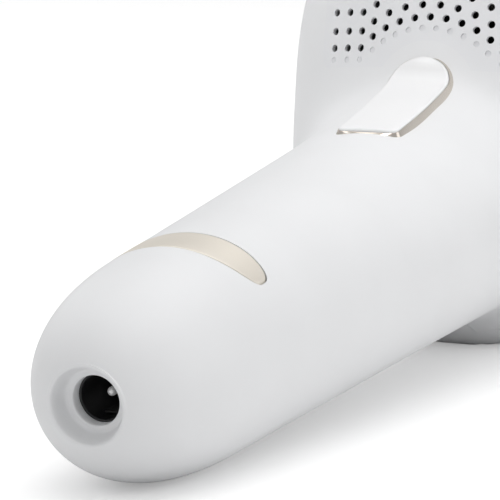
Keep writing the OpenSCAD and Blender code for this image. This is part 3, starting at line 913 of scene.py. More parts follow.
@dataclass
class VentGrille:
    """Perforated air inlet over the trigger.

    Attributes:
        form: The outer form.
        centre: Middle of the panel.
        half_w: Half width of the panel.
        half_h: Half height of the panel.
        slope: Slope of the head's wall there, in radians.
        arch_r: Radius of the panel's lower edge over the trigger.
        arch_drop: How far below the panel the middle of that arch lies.
        corner: Radius of the panel's corners.
        through: Start and end of the block, along its inward direction.
        hole_r: Radius of a hole.
        dimple_r: Radius of a blind dimple.
        dimple_depth: Depth of a blind dimple.
        panel_t: Thickness of the panel, less than the housing's wall.
        arc_z: Height of the arcs' common centre.
        step: Angle between the holes of an arc, in radians.
        dimple_arc: Radius of the dimples' arc, in mm.
        dimple_row: Height of the dimples' row, in mm.
        arc_radii: Radii of the arcs of holes, in mm.
        block_rows: Heights of the rows of the two blocks, in mm.
        block_cols: Places of their columns from the middle, in mm.
        arc_side: How far the arcs reach from the middle, in mm.
        arc_top: How high they reach, in mm.
        start_x: Plane from which the wall is looked for.
        follow: How far a hole's axis follows the wall's own normal.
    """

    form: BodyForm
    centre: tuple[float, float, float] = (46.8 * MM, 0.0, 68.6 * MM)
    half_w: float = 24.6 * MM
    half_h: float = 12 * MM
    slope: float = math.radians(10.8)
    arch_r: float = 10.5 * MM
    arch_drop: float = 5 * MM
    corner: float = 2 * MM
    through: tuple[float, float] = (-8 * MM, 14 * MM)
    hole_r: float = 0.76 * MM
    dimple_r: float = 0.62 * MM
    dimple_depth: float = 0.3 * MM
    arc_z: float = 46.4 * MM
    step: float = math.radians(9.2)
    dimple_arc: float = 18.25
    dimple_row: float = 58.1
    arc_radii: tuple[float, ...] = (20.5, 23.0, 25.8, 29.0, 32.4)
    block_rows: tuple[float, ...] = (60.5, 63.9, 67.7, 71.6, 75.5)
    block_cols: tuple[float, ...] = (14.9, 18.1, 21.5)
    arc_side: float = 13.2
    arc_top: float = 79.2
    start_x: float = 46 * MM
    follow: float = 0.35
    panel_t: float = 0.9 * MM

    def axes(self) -> tuple[Array, Array, Array]:
        """Origin, inward direction and upward direction of the panel."""
        inward = np.array([math.cos(self.slope), 0.0, -math.sin(self.slope)])
        upward = np.array([math.sin(self.slope), 0.0, math.cos(self.slope)])
        return np.array(self.centre), inward, upward

    def block(self) -> bpy.types.Object:
        """Solid that holds the panel: a plate outline pushed through the wall.

        Returns:
            The closed solid, arched over the trigger below.
        """
        r, drop = self.arch_r, self.arch_drop
        w, h = self.half_w, self.half_h
        rise = math.asin(drop / r)
        a = np.linspace(rise, math.pi - rise, 40)
        arch = np.stack([r * np.cos(a), -h - drop + r * np.sin(a)], axis=-1)
        q = quarter(10)
        turn = np.stack([np.cos(q), np.sin(q)], axis=-1) * self.corner
        middle = np.array([w, h]) - self.corner
        signs = np.array([(1, 1), (-1, 1), (-1, -1), (1, -1)])
        corners = [(turn[::step] + middle) * sign for sign, step in zip(signs, (1, -1, 1, -1))]
        outline = np.vstack([*corners[:3], arch[::-1], corners[3]])
        rings = []
        for depth in self.through:
            local = np.column_stack([np.full(len(outline), depth), outline])
            rings.append(placed(local, *self.axes()))
        return capped_tube("vent_block", np.stack(rings))

    def places(self, radii: Sequence[float], rows: Sequence[float], shift: float = 0.0) -> Array:
        """Hole centres, across and up, in two blocks joined by arcs.

        Args:
            radii: Radii of the arcs, in millimetres.
            rows: Heights of the block's rows, in millimetres.
            shift: Steps that the first arc is turned by.

        Returns:
            Array of (y, z) pairs in metres.
        """
        spots = []
        for row, r in enumerate(radii):
            k = np.arange(-6, 7) + shift + 0.5 * (row % 2)
            y, z = r * np.sin(k * self.step), self.arc_z / MM + r * np.cos(k * self.step)
            use = (np.abs(y) < self.arc_side) & (z > rows[0] + 0.4) & (z < self.arc_top)
            spots.append(np.column_stack([y[use], z[use]]))
        cols = np.array([s * c for c in self.block_cols for s in (-1, 1)])
        yy, zz = np.meshgrid(cols, rows)
        spots.append(np.column_stack([yy.ravel(), zz.ravel()]))
        return np.vstack(spots) * MM

    def pegs(self, spots: Array, radius: float, low: float, high: float) -> bpy.types.Object:
        """Round pegs square to the wall at the given spots.

        Args:
            spots: Array of (y, z) pairs.
            radius: Radius of each peg.
            low: Start of the peg, measured outwards from the surface.
            high: End of the peg.

        Returns:
            One object that holds every peg.
        """
        inward = self.axes()[1]
        start = np.column_stack([np.full(len(spots), self.start_x), spots])
        base = self.form.surface_from(start, -inward, 10 * MM)
        lean = self.form.normal(base) * self.follow - inward * (1.0 - self.follow)
        lean /= np.linalg.norm(lean, axis=-1, keepdims=True)
        side = np.cross(lean, UPRIGHT)
        side /= np.linalg.norm(side, axis=-1, keepdims=True)
        up = np.cross(side, lean)
        n = PEG_SIDES
        v = np.linspace(0, 2 * math.pi, n, endpoint=False)
        ring = radius * (np.cos(v)[None, :, None] * side[:, None] + np.sin(v)[None, :, None] * up[:, None])
        ends = [(base + height * lean)[:, None] + ring for height in (low, high)]
        faces = []
        for at in range(0, 2 * n * len(spots), 2 * n):
            faces += [tuple(at + q for q in f) for f in grid_faces(2, n)]
            faces += [tuple(range(at, at + n)), tuple(range(at + 2 * n - 1, at + n - 1, -1))]
        return link_mesh("pegs", np.stack(ends, axis=1).reshape(-1, 3), faces)

    def holes(self) -> bpy.types.Object:
        """Cutter for the through holes."""
        return self.pegs(self.places(self.arc_radii, self.block_rows), self.hole_r, -6 * MM, 2 * MM)

    def dimples(self) -> bpy.types.Object:
        """Cutter for the lowest row, which is only sunk into the surface."""
        spots = self.places([self.dimple_arc], [self.dimple_row], 0.5)
        return self.pegs(spots, self.dimple_r, -self.dimple_depth, 2 * MM)


# --------------------------------------------------------------------------
# Handle parts
# --------------------------------------------------------------------------


@dataclass
class Crescent:
    """Metal crescent let into the front of the handle.

    Attributes:
        form: The outer form.
        middle: Place of its middle along the axis.
        half_s: Half its size along the handle.
        half: Half its width across the handle.
        power: Fullness of its outline, 2 is an ellipse.
        depth: Depth of its pocket.
        gap: Gap between it and its pocket.
        proud: How far it stands over the housing.
        bevel: Width of its rounded edge.
    """

    form: BodyForm
    middle: float = 35.5 * MM
    half_s: float = 4.35 * MM
    half: float = 14.4 * MM
    power: float = 2.7
    depth: float = 1.0 * MM
    gap: float = 0.2 * MM
    proud: float = 0.05 * MM
    bevel: float = 0.22 * MM

    def edges(self, t: Array) -> tuple[Array, Array]:
        """Places of the two edges along the axis, t from -1 to 1 across.

        The outline is a superellipse: seen from the handle's end it turns
        into a crescent, because the handle falls away on both sides.

        Args:
            t: Fraction of the half width.

        Returns:
            Nose-side and head-side places.
        """
        half = self.half_s * np.clip(1.0 - np.abs(t) ** self.power, 0.0, 1.0) ** (1.0 / self.power)
        return self.middle - half, self.middle + half

    def slab(self, name: str, grow: float, low: float, high: float, bevel: float) -> bpy.types.Object:
        """Curved slab between two heights over the handle's surface.

        Args:
            name: Name of the object.
            grow: How far the outline is grown.
            low: Height of its floor over the surface, negative inside.
            high: Height of its top.
            bevel: Width of the rounded top edge.

        Returns:
            The closed slab. Each section across it is a rounded box.
        """
        t = np.sin(np.linspace(-HALF_PI, HALF_PI, 121)) * 0.9995
        y = t * (self.half + grow)
        first, last = self.edges(t)
        first, last = first - grow, last + grow
        shares = np.linspace(0.0, 1.0, 25)[1:-1]
        corner = quarter(6)
        inset = np.concatenate([[0.0], bevel * (1 - np.cos(corner)), [bevel]])
        height = np.concatenate([[low], high - bevel + bevel * np.sin(corner), [high]])
        scale = np.clip((last - first) / (4 * bevel), 0.0, 1.0)
        flat = last - first - 2 * bevel * scale
        front = [self._place(first + e * scale, y, h) for e, h in zip(inset, height)]
        top = [self._place(first + bevel * scale + flat * w, y, high) for w in shares]
        back = [self._place(last - e * scale, y, h) for e, h in zip(inset[::-1], height[::-1])]
        floor = [self._place(last - (last - first) * w, y, low) for w in shares]
        return capped_tube(name, np.stack(front + top + back + floor, axis=1))

    def _place(self, s: Array, y: Array, over: float) -> Array:
        """Points at axis places s and widths y, at a height over the surface.

        The height follows the handle's elliptical section, grown by it.
        """
        form = self.form
        wide, tall = form.half_w(s) + over, form.half_h(s) + over
        up = tall * np.sqrt(np.clip(1.0 - (y / wide) ** 2, 0.0, None))
        return form.tip + s[:, None] * form.along + y[:, None] * ACROSS + up[:, None] * form.above

    def pocket(self) -> bpy.types.Object:
        """Cutter for the pocket in the housing."""
        return self.slab("crescent_pocket", self.gap, -self.depth, 2 * MM, 0.01 * MM)

    def build(self) -> None:
        """Builds the inlay."""
        obj = self.slab("crescent_inlay", 0.0, self.proud - self.depth, self.proud, self.bevel)
        smooth(obj, TRIM_ANGLE)
        dress(obj, CHAMPAGNE_INLAY, Body.ROOT, "champagne", "handle_crescent")


@dataclass
class Inlet:
    """Power inlet: black socket with a bore and a domed pin.

    Attributes:
        form: The outer form.
        face_s: Place of the socket's face along the handle's axis.
        outer_r: Radius of the socket.
        bore_r: Radius of its bore.
        length: Length of the socket.
        bore_len: Depth of the bore.
        edge: Radius of the socket's edges.
        pin_r: Radius of the pin.
        pin_tip: Place of the pin's tip along the axis.
        neck: Rest of the pin, along the axis and radius, in mm.
    """

    form: BodyForm
    face_s: float = 6.3 * MM
    outer_r: float = 5.4 * MM
    bore_r: float = 3.6 * MM
    length: float = 13 * MM
    bore_len: float = 10 * MM
    edge: float = 0.3 * MM
    pin_r: float = 0.72 * MM
    pin_tip: float = 9.0 * MM
    neck: tuple[tuple[float, float], ...] = (
        (11.6, 0.72), (11.7, 0.62), (12.0, 0.62), (12.1, 0.72), (15.8, 0.72), (15.8, 1.1), (20.3, 1.1),
    )

    def build(self) -> None:
        """Builds the socket and the pin as bodies of revolution."""
        f, r, b, edge = self.face_s, self.outer_r, self.bore_r, self.edge
        floor, end = f + self.bore_len, f + self.length
        q = quarter(7)
        mouth = np.stack([f + edge * (1 - np.sin(q)), b + edge * (1 - np.cos(q))], axis=-1)
        rim = np.stack([f + edge * (1 - np.cos(q)), r - edge * (1 - np.sin(q))], axis=-1)
        profile = np.vstack([
            [[floor, 0.05 * MM], [floor, b - edge], [floor - edge, b]],
            [[f + self.bore_len * w, b] for w in (0.75, 0.5, 0.25)],
            mouth,
            rim,
            [[f + self.length / 2, r], [end - edge, r], [end, r - edge], [end, 0.05 * MM]],
        ])
        socket = capped_tube("inlet_socket", self.form.axis_rings(profile, SOCKET_SIDES))
        smooth(socket)
        dress(socket, SOCKET_BLACK, Body.ROOT, "black_plastic", "dc_socket")
        dome = np.linspace(0.02, HALF_PI, 12)
        tip = np.stack([self.pin_tip + self.pin_r * (1 - np.cos(dome)), self.pin_r * np.sin(dome)], axis=-1)
        pin_profile = np.vstack([tip, np.array(self.neck) * MM])
        pin = capped_tube("inlet_pin", self.form.axis_rings(pin_profile, PIN_SIDES))
        smooth(pin)
        dress(pin, PIN_NICKEL_PAINTED_GLOW, Body.ROOT, "contact_metal", "dc_centre_pin")


@dataclass
class FlashButton:
    """Trigger cap that bridges the concave corner, with a metal skirt.

    The cap is nearly flat across and follows one profile line along the
    handle and up the head's wall. The skirt fills the height between the
    cap's edge and the housing.

    Attributes:
        form: The outer form.
        centre: Origin of the button's own axes.
        slope: Slope of the button's chord, in radians.
        knots: Profile of the cap, along the chord and over it, in mm.
        base_w: Width at the base.
        max_w: Greatest width.
        round_from: Where along the chord the tip starts to round off, in mm.
        tip_power: Fullness of the tip, 2 is an ellipse.
        corner: Radius of the base corners.
        gap: Gap between cap and skirt.
        flare: How far the skirt's foot stands out from its top.
        crown: How far the cap's middle stands over its edge.
        edge: Radius of the cap's edge.
        depth: Height of the cap from its profile down to its foot.
        swell_len: Length over which it swells from base to greatest width.
        clearance: How far the opening is wider than the gap.
        tuck: How far the skirt starts under the cap's profile.
        sink: How far its foot ends inside the housing's surface.
        drop_max: Farthest that the housing is looked for below it.
    """

    form: BodyForm
    centre: tuple[float, float, float] = (28.4 * MM, 0.0, 53.7 * MM)
    slope: float = math.radians(23.1)
    knots: tuple[tuple[float, float], ...] = (
        (-16.1, 0.55), (-9.4, -0.65), (-2.8, -1.75), (3.6, -2.55), (7.4, -2.95), (10.2, -2.95),
        (12.2, -2.2), (13.8, -1.1), (15.0, 0.0),
    )
    base_w: float = 11.9 * MM
    max_w: float = 12.4 * MM
    round_from: float = 9.6
    tip_power: float = 2.4
    corner: float = 1.1 * MM
    gap: float = 0.1 * MM
    flare: float = 0.5 * MM
    crown: float = 0.22 * MM
    edge: float = 0.5 * MM
    depth: float = 2.4 * MM
    swell_len: float = 18 * MM
    clearance: float = 0.35 * MM
    tuck: float = 0.4 * MM
    sink: float = 0.1 * MM
    drop_max: float = 6 * MM

    def __post_init__(self) -> None:
        """Works out the button's own axes and its profile."""
        self.origin = np.array(self.centre)
        self.x_axis = np.array([math.cos(self.slope), 0.0, math.sin(self.slope)])
        self.z_axis = np.array([-math.sin(self.slope), 0.0, math.cos(self.slope)])
        self.line = curve_through(self.knots, 24) * MM
        self.base_x, self.tip_x = float(self.line[0, 0]), float(self.line[-1, 0])

    def height(self, x: Array) -> Array:
        """Height of the cap's profile at chord place x, held past its ends."""
        return np.interp(x, self.line[:, 0], self.line[:, 1])

    def half_w(self, x: Array) -> Array:
        """Half width of the cap at chord place x.

        A slow swell, then a full round to the tip, less the base corners.
        """
        t = np.clip((x - self.base_x) / self.swell_len, 0.0, 1.0)
        body = self.base_w / 2 + (self.max_w - self.base_w) / 2 * np.sin(t * HALF_PI)
        start = self.round_from * MM
        n = self.tip_power
        past = np.clip(x - start, 0.0, None) / (self.tip_x - start)
        tip = np.clip(1.0 - past**n, 0.0, 1.0) ** (1.0 / n)
        near = np.clip(x - self.base_x, 0.0, self.corner)
        cut = self.corner - np.sqrt(np.clip(self.corner**2 - (self.corner - near) ** 2, 0.0, None))
        return body * tip - cut * (x < 0)

    def outline(self, grow: float, count: int = 260) -> Array:
        """Closed outline of the cap in the chord plane, evenly spaced.

        Args:
            grow: How far the outline is grown, square to itself.
            count: Number of points.

        Returns:
            Points along the chord and across, count by 2.
        """
        q = np.linspace(0.0, math.pi, 500)
        x = self.base_x + (self.tip_x - self.base_x) * (1.0 - np.cos(q)) / 2
        side = np.column_stack([x, self.half_w(x)])
        loop = np.vstack([side, side[::-1][1:] * [1, -1], side[:1]])
        place = np.concatenate([[0.0], np.cumsum(np.linalg.norm(np.diff(loop, axis=0), axis=1))])
        even = np.linspace(0, place[-1], count, endpoint=False)
        ring = np.column_stack([np.interp(even, place, loop[:, k]) for k in (0, 1)])
        tangent = np.roll(ring, -1, axis=0) - np.roll(ring, 1, axis=0)
        tangent /= np.linalg.norm(tangent, axis=1, keepdims=True)
        out = np.column_stack([tangent[:, 1], -tangent[:, 0]])
        out *= np.sign(np.sum(out * (ring - ring.mean(axis=0)), axis=1).mean())
        return ring + grow * out

    def lift(self, flat: Array, z: Array) -> Array:
        """Places chord-plane points at heights z into the frame."""
        local = np.concatenate([flat, np.asarray(z)[..., None]], axis=-1)
        return placed(local, self.origin, self.x_axis, self.z_axis)

    def opening(self) -> bpy.types.Object:
        """Cutter for the opening in the housing."""
        flat = self.outline(self.gap + self.clearance, 160)
        ends = [self.lift(flat, np.full(len(flat), z)) for z in (-12 * MM, 12 * MM)]
        return capped_tube("button_opening", np.stack(ends))

    def build(self) -> None:
        """Builds the cap and the skirt."""
        self._skirt()
        self._cap()

    def _skirt(self) -> None:
        """Skirt: from just under the cap's edge out and down to its foot.

        It drops square to the cap's profile, so that at the tip it leans
        into the head's wall, and ends just inside the housing's surface.
        """
        inside = self.outline(self.gap)
        x = inside[:, 0]
        step = 0.1 * MM
        rise = (self.height(x + step) - self.height(x - step)) / (2 * step)
        size = np.hypot(1.0, rise)
        down = np.column_stack([rise / size, 0 * x, -1.0 / size])
        out = (self.outline(self.gap + step) - inside) / step
        start = np.column_stack([inside, self.height(x) - self.tuck])
        outward = np.column_stack([out, 0 * x])
        reach = self._drop(start + outward * self.flare, down)[:, None] + self.sink
        columns = [start + down * (reach + 1.2 * MM), start + down * 0.05 * MM]
        for a in quarter(14):
            fall = 1.0 - math.cos(a)
            share = 0.35 * math.sin(a) + 0.65 * fall
            columns.append(start + outward * self.flare * share + down * reach * fall**0.8)
        columns.append(start + outward * 0.25 * MM + down * (reach + 0.8 * MM))
        placed_columns = [self.lift(c[:, :2], c[:, 2]) for c in columns]
        skirt = closed_band("flash_button_skirt", np.stack(placed_columns, axis=1))
        smooth(skirt, TRIGGER_ANGLE)
        dress(skirt, CHAMPAGNE_RIM, Body.ROOT, "champagne", "flash_button_rim")

    def _drop(self, start: Array, down: Array) -> Array:
        """Distances from local points along local directions to the housing.

        Args:
            start: Points in the button's axes, n by 3.
            down: Unit directions into the housing, n by 3.

        Returns:
            Distances, found by halving.
        """
        low, high = np.zeros(len(start)), np.full(len(start), self.drop_max)
        for _ in range(self.form.halvings):
            mid = 0.5 * (low + high)
            p = start + mid[:, None] * down
            outside = self.form.field(self.lift(p[:, :2], p[:, 2])) > 0.0
            low, high = np.where(outside, mid, low), np.where(outside, high, mid)
        return 0.5 * (low + high)

    def _cap(self) -> None:
        """Cap: sections across the button, rounded at the whole outline.

        A top point at distance d from the outline is lowered by a quarter
        round: r less the root of r squared less (r - d) squared.
        """
        q = np.linspace(0.0, math.pi, 120)[:-1]
        x = self.base_x + (self.tip_x - self.base_x) * (1.0 - np.cos(q)) / 2 * 0.99999
        v = np.sin(np.linspace(-HALF_PI, HALF_PI, 61))
        w = np.clip(self.half_w(x), NEAR_ZERO, None)
        flat = np.stack([np.repeat(x[:, None], len(v), 1), w[:, None] * v], axis=-1)
        border = self.outline(0.0, 700)
        span = np.linalg.norm(flat[:, :, None] - border, axis=-1).min(axis=-1)
        span[:, [0, -1]] = 0.0
        span[0] = 0.0
        r = self.edge
        lowered = r - np.sqrt(np.clip(r * r - (r - np.minimum(span, r)) ** 2, 0.0, None))
        z = self.height(flat[..., 0]) + self.crown * (1.0 - v**2) - lowered
        top = self.lift(flat, z)
        floor = self.height(x) - self.depth
        under = [self.lift(np.column_stack([x, w * share]), floor) for share in np.linspace(1.0, -1.0, 9)]
        cap = capped_tube("flash_button_cap", np.concatenate([top, np.stack(under, axis=1)], axis=1))
        smooth(cap, TRIGGER_ANGLE)
        dress(cap, CAP_WHITE, Body.TRIGGER, "cap_white", "flash_button")


@dataclass
class BackControls:
    """Power key, level lights and screws on the back of the handset.

    Attributes:
        form: The outer form.
        key_s: Place of the key along the handle's axis.
        key_r: Radius of the key.
        key_edge: Radius of its edge.
        key_lift: How far its rim stands over the back.
        key_foot: Its stem and underside, height and radius, in mm.
        dish_r: Radius of the dish in its top, in mm.
        dish_depth: Depth of that dish, in mm.
        lights_s: Place of the first light.
        light_count: Number of lights.
        light_pitch: Distance from one light to the next.
        light_profile: Stem and dome of a light, height and radius, in mm.
        hole_gap: Gap round the key, in mm, and a lesser one round a light.
        screw_y: Distance of the screws from the middle.
        well: Screw hole, height and radius, in mm.
    """

    form: BodyForm
    key_s: float = 116 * MM
    key_r: float = 5 * MM
    key_edge: float = 0.5 * MM
    key_lift: float = 0.3 * MM
    key_foot: tuple[tuple[float, float], ...] = ((-3.4, 0.02), (-3.4, 1), (-2, 1), (-2, 5))
    dish_r: float = 4.0
    dish_depth: float = 0.25
    lights_s: float = 98 * MM
    light_count: int = 5
    light_pitch: float = 2.6 * MM
    light_profile: tuple[tuple[float, float], ...] = (
        (-3.0, 0.02), (-3.0, 1.0), (-0.1, 1.0), (0.02, 0.9), (0.08, 0.6), (0.1, 0.3), (0.1, 0.02),
    )
    hole_gap: tuple[float, float] = (0.25, 0.04)
    screw_y: float = 6 * MM
    well: tuple[tuple[float, float], ...] = ((-3, 2.6), (1.8, 2.6), (1.8, 1.1), (6, 1.1))

    def station(self, s: float) -> tuple[Array, Array]:
        """Point on the back of the handle at s, and the outward direction."""
        form = self.form
        return form.tip + s * form.along - form.half_h(s) * form.above, -form.above

    def light_stations(self) -> list[tuple[Array, Array]]:
        """Point and outward direction of each light."""
        return [self.station(self.lights_s + i * self.light_pitch) for i in range(self.light_count)]

    def cutters(self) -> list[bpy.types.Object]:
        """Cutters for the key, the lights and the screws."""
        key_hole, light_hole = self.key_r / MM + self.hole_gap[0], 1.0 + self.hole_gap[1]
        made = [turned("key_hole", *self.station(self.key_s), np.array([[-8, key_hole], [3, key_hole]]) * MM)]
        for i, place in enumerate(self.light_stations()):
            bore = np.array([[-8, light_hole], [3, light_hole]]) * MM
            made.append(turned(f"light_hole_{i}", *place, bore, LIGHT_SIDES))
        for side in (-1, 1):
            foot = np.array([self.form.head_x, side * self.screw_y, 0.0])
            made.append(turned(f"screw_well_{side}", foot, UPRIGHT, np.array(self.well) * MM, WELL_SIDES))
        return made

    def build(self) -> None:
        """Builds the key and the row of lights."""
        r, edge = self.key_r, self.key_edge
        q = quarter(8)
        a = quarter(12)[::-1]
        low = self.key_lift / MM - self.dish_depth * np.cos(a) ** 2
        profile = np.vstack([
            np.array(self.key_foot) * MM,
            np.stack([self.key_lift - edge + edge * np.sin(q), r - edge * (1 - np.cos(q))], axis=-1),
            np.stack([low, self.dish_r * np.sin(a) + 0.02], axis=-1) * MM,
        ])
        key = turned("power_key_cap", *self.station(self.key_s), profile)
        smooth(key)
        dress(key, CAP_WHITE, Body.POWER_KEY, "cap_white", "power_button")
        dome = np.array(self.light_profile) * MM
        places = enumerate(self.light_stations(), 1)
        lights = [turned(f"level_light_{i}", *at, dome, LIGHT_SIDES) for i, at in places]
        joined = join("level_light_row", lights)
        smooth(joined)
        dress(joined, LIGHT_GUIDE, Body.ROOT, "light_guide", "level_lights")


def join(name: str, objects: Sequence[bpy.types.Object]) -> bpy.types.Object:
    """Joins several objects' meshes into one object.

    Args:
        name: Name of the joined object.
        objects: Objects at the origin; they are removed.

    Returns:
        The joined object.
    """
    work = bmesh.new()
    for obj in objects:
        work.from_mesh(obj.data)
    mesh = bpy.data.meshes.new(name)
    work.to_mesh(mesh)
    work.free()
    for obj in objects:
        bpy.data.objects.remove(obj, do_unlink=True)
    joined = bpy.data.objects.new(name, mesh)
    bpy.context.scene.collection.objects.link(joined)
    return joined


# --------------------------------------------------------------------------
# Treatment end
# --------------------------------------------------------------------------


Outline = Callable[[float, float], Array]


@dataclass
class TreatmentEnd:
    """Rings, attachment and filter frame at the mouth of the head.

    Attributes:
        form: The outer form.
        ring_t: Thickness of the champagne ring.
        rim_z: Height of the attachment's rim.
        window_l: Length of the light window.
        window_w: Width of the light window.
        skin_l: Outer length of the contact ring.
        skin_w: Outer width of the contact ring.
        skin_low: How far the contact ring starts over the champagne ring.
        skin_wall: How far its opening is wider than the window.
        proud: How far it stands over the attachment's rim.
        gap: Gap between neighbouring pieces.
        ring_w: Width of the champagne ring.
        draw: How far the attachment's wall leans in over its height.
        rim_round: Radius of the attachment's outer shoulder.
        rim_share: Share of its height below that shoulder.
        lip: Radius of its inner lip.
        lens_y: Place of the sensor lens across the head.
        lens_hole: Hole for the lens, height and radius, in mm.
        lens_dome: The lens, height and radius, in mm.
        around: Points round each outline.
    """

    form: BodyForm
    ring_t: float = 2.5 * MM
    rim_z: float = 95 * MM
    window_l: float = 31 * MM
    window_w: float = 11 * MM
    skin_l: float = 38 * MM
    skin_w: float = 18 * MM
    skin_low: float = 1.8 * MM
    skin_wall: float = 0.7 * MM
    proud: float = 0.8 * MM
    gap: float = 0.3 * MM
    ring_w: float = 2.9 * MM
    draw: float = 1.5 * MM
    rim_round: float = 1.7 * MM
    rim_share: float = 0.78
    lip: float = 0.7 * MM
    lens_y: float = 21.6 * MM
    lens_hole: tuple[tuple[float, float], ...] = ((-2.2, 1.35), (1.0, 1.35))
    lens_dome: tuple[tuple[float, float], ...] = (
        (-2.0, 0.02), (-2.0, 1.3), (-0.35, 1.3), (-0.22, 1.2), (-0.12, 0.9), (-0.08, 0.5), (-0.07, 0.02),
    )
    around: int = 192

    @property
    def mouth(self) -> tuple[float, float]:
        """Half sizes of the head at its mouth."""
        return self.form.head_a * self.form.mouth_part, self.form.head_b * self.form.mouth_part

    def oval(self, a: float, b: float) -> Array:
        """Superellipse outline: signed powers of cosine and sine."""
        v = np.linspace(0, 2 * math.pi, self.around, endpoint=False)
        n = 2.0 / self.form.egg_power
        c, s = np.cos(v), np.sin(v)
        return np.stack([a * np.sign(c) * np.abs(c) ** n, b * np.sign(s) * np.abs(s) ** n], axis=-1)

    def box(self, a: float, b: float, power: float = 7.0) -> Array:
        """Rounded rectangle: a superellipse of high power, by angle.

        Points sit at the same polar share as those of oval(), so the two
        kinds of outline can be joined by straight faces.
        """
        v = np.linspace(0, 2 * math.pi, self.around, endpoint=False)
        c, s = np.cos(v), np.sin(v)
        r = (np.abs(c) ** power + np.abs(s) ** power) ** (-1.0 / power)
        return np.stack([a * r * c, b * r * s], axis=-1)

    def band(self, name: str, levels: Sequence[tuple[Array, float]]) -> bpy.types.Object:
        """Closed ring through outlines at given heights.

        Args:
            name: Name of the object.
            levels: Outline and height of each step round the section.

        Returns:
            The closed ring about the head's axis.
        """
        middle = self.form.head_x
        rows = [np.column_stack([o[:, 0] + middle, o[:, 1], np.full(len(o), z)]) for o, z in levels]
        return closed_band(name, np.stack(rows, axis=1))

    def build(self) -> None:
        """Builds the ring, the filter frame, the contact ring and the attachment."""
        self._nozzle_ring()
        self._filter_frame()
        self._contact_ring()
        self._attachment()

    def _rounded(self, outer: tuple[float, float], inner: tuple[float, float], low: float, high: float,
                 edge: float, outer_fn: Outline, inner_fn: Outline) -> list[tuple[Array, float]]:
        """Section steps of a ring with four rounded edges.

        Args:
            outer: Outer half sizes.
            inner: Inner half sizes.
            low: Height of the foot.
            high: Height of the top.
            edge: Radius of the edges.
            outer_fn: Outline function of the outside.
            inner_fn: Outline function of the inside.

        Returns:
            Outline and height of each step.
        """
        steps = []
        sides = (
            (outer, -edge, outer_fn, low, edge, False), (outer, -edge, outer_fn, high, -edge, True),
            (inner, edge, inner_fn, high, -edge, False), (inner, edge, inner_fn, low, edge, True),
        )
        for half, across, outline, level, upwards, leaving in sides:
            for a in quarter(6):
                away, along = 1 - math.sin(a), 1 - math.cos(a)
                if leaving:
                    away, along = along, away
                a_side, b_side = half[0] + across * away, half[1] + across * away
                steps.append((outline(a_side, b_side), level + upwards * along))
        return steps

    def _square(self, power: float) -> Outline:
        """Outline function of a rounded rectangle of the given power."""
        return lambda a, b: self.box(a, b, power)

    def _nozzle_ring(self) -> None:
        """Champagne ring that closes the mouth of the head."""
        z = self.form.mouth_z
        a, b = self.mouth
        fit = self.gap / 2
        steps = self._rounded((a - fit, b - fit), (a - self.ring_w, b - self.ring_w), z + 0.05 * MM,
                              z + self.ring_t, 0.45 * MM, self.oval, self.oval)
        ring = self.band("nozzle_band", steps)
        smooth(ring, TRIM_ANGLE)
        dress(ring, CHAMPAGNE_RIM, Body.ROOT, "champagne", "nozzle_ring")

    def _filter_frame(self) -> None:
        """Frame round the filter glass."""
        z = self.form.mouth_z
        half = (self.window_w / 2, self.window_l / 2)
        a, b = (m - self.ring_w - 0.2 * MM for m in self.mouth)
        steps = self._rounded((a, b), half, z, z + self.ring_t, 0.3 * MM, self.oval, self._square(16.0))
        ledge = self.band("filter_surround", steps)
        smooth(ledge, TRIM_ANGLE)
        dress(ledge, CHASSIS_GREY, Body.ROOT, "chassis_grey", "filter_frame")

    def _contact_ring(self) -> None:
        """Sprung frame that touches the skin first."""
        low = self.form.mouth_z + self.ring_t + self.skin_low
        outer = (self.skin_w / 2, self.skin_l / 2)
        inner = (self.window_w / 2 + self.skin_wall, self.window_l / 2 + self.skin_wall)
        high = self.rim_z + self.proud
        steps = self._rounded(outer, inner, low, high, 0.8 * MM, self.box, self._square(12.0))
        ring = self.band("skin_contact_frame", steps)
        smooth(ring, TRIM_ANGLE)
        dress(ring, CAP_WHITE, Body.SKIN_RING, "cap_white", "contact_ring")

    def _attachment(self) -> None:
        """Pull-off attachment: a drawn-in wall with a soft rim."""
        low, high = self.form.mouth_z + self.ring_t + self.gap, self.rim_z
        wide, long = self.mouth[0] - self.gap, self.mouth[1] - self.gap
        share, left = self.rim_share, 1.0 - self.rim_share
        t = np.concatenate([np.linspace(0, share, 10), share + left * np.sin(quarter(12)[1:])])
        steps = []
        for w in t:
            past = max(w - share, 0.0) / left
            inward = self.draw * w * w + self.rim_round * (1 - math.sqrt(max(0.0, 1 - past**2)))
            steps.append((self.oval(wide - inward, long - inward), low + (high - low) * w))
        a, b = self.skin_w / 2 + self.gap, self.skin_l / 2 + self.gap
        for q in quarter(7):
            out, down = self.lip * (1 - math.sin(q)), self.lip * (1 - math.cos(q))
            steps.append((self.box(a + out, b + out), high - down))
        steps += [(self.box(a, b), low + 2 * MM), (self.box(a, b), low)]
        cap = self.band("treatment_cap", steps)
        foot = np.array([self.form.head_x, self.lens_y, self.rim_z])
        combine(cap, turned("lens_hole", foot, UPRIGHT, np.array(self.lens_hole) * MM, LENS_SIDES))
        smooth(cap, TRIM_ANGLE)
        dress(cap, SATIN_WHITE, Body.ATTACHMENT, "shell_white", "treatment_attachment")
        lens = turned("sensor_lens_dome", foot, UPRIGHT, np.array(self.lens_dome) * MM, LENS_SIDES)
        smooth(lens)
        dress(lens, DARK_LENS, Body.ATTACHMENT, "lens_dark", "skin_sensor_lens")


# --------------------------------------------------------------------------
# Stage
# --------------------------------------------------------------------------


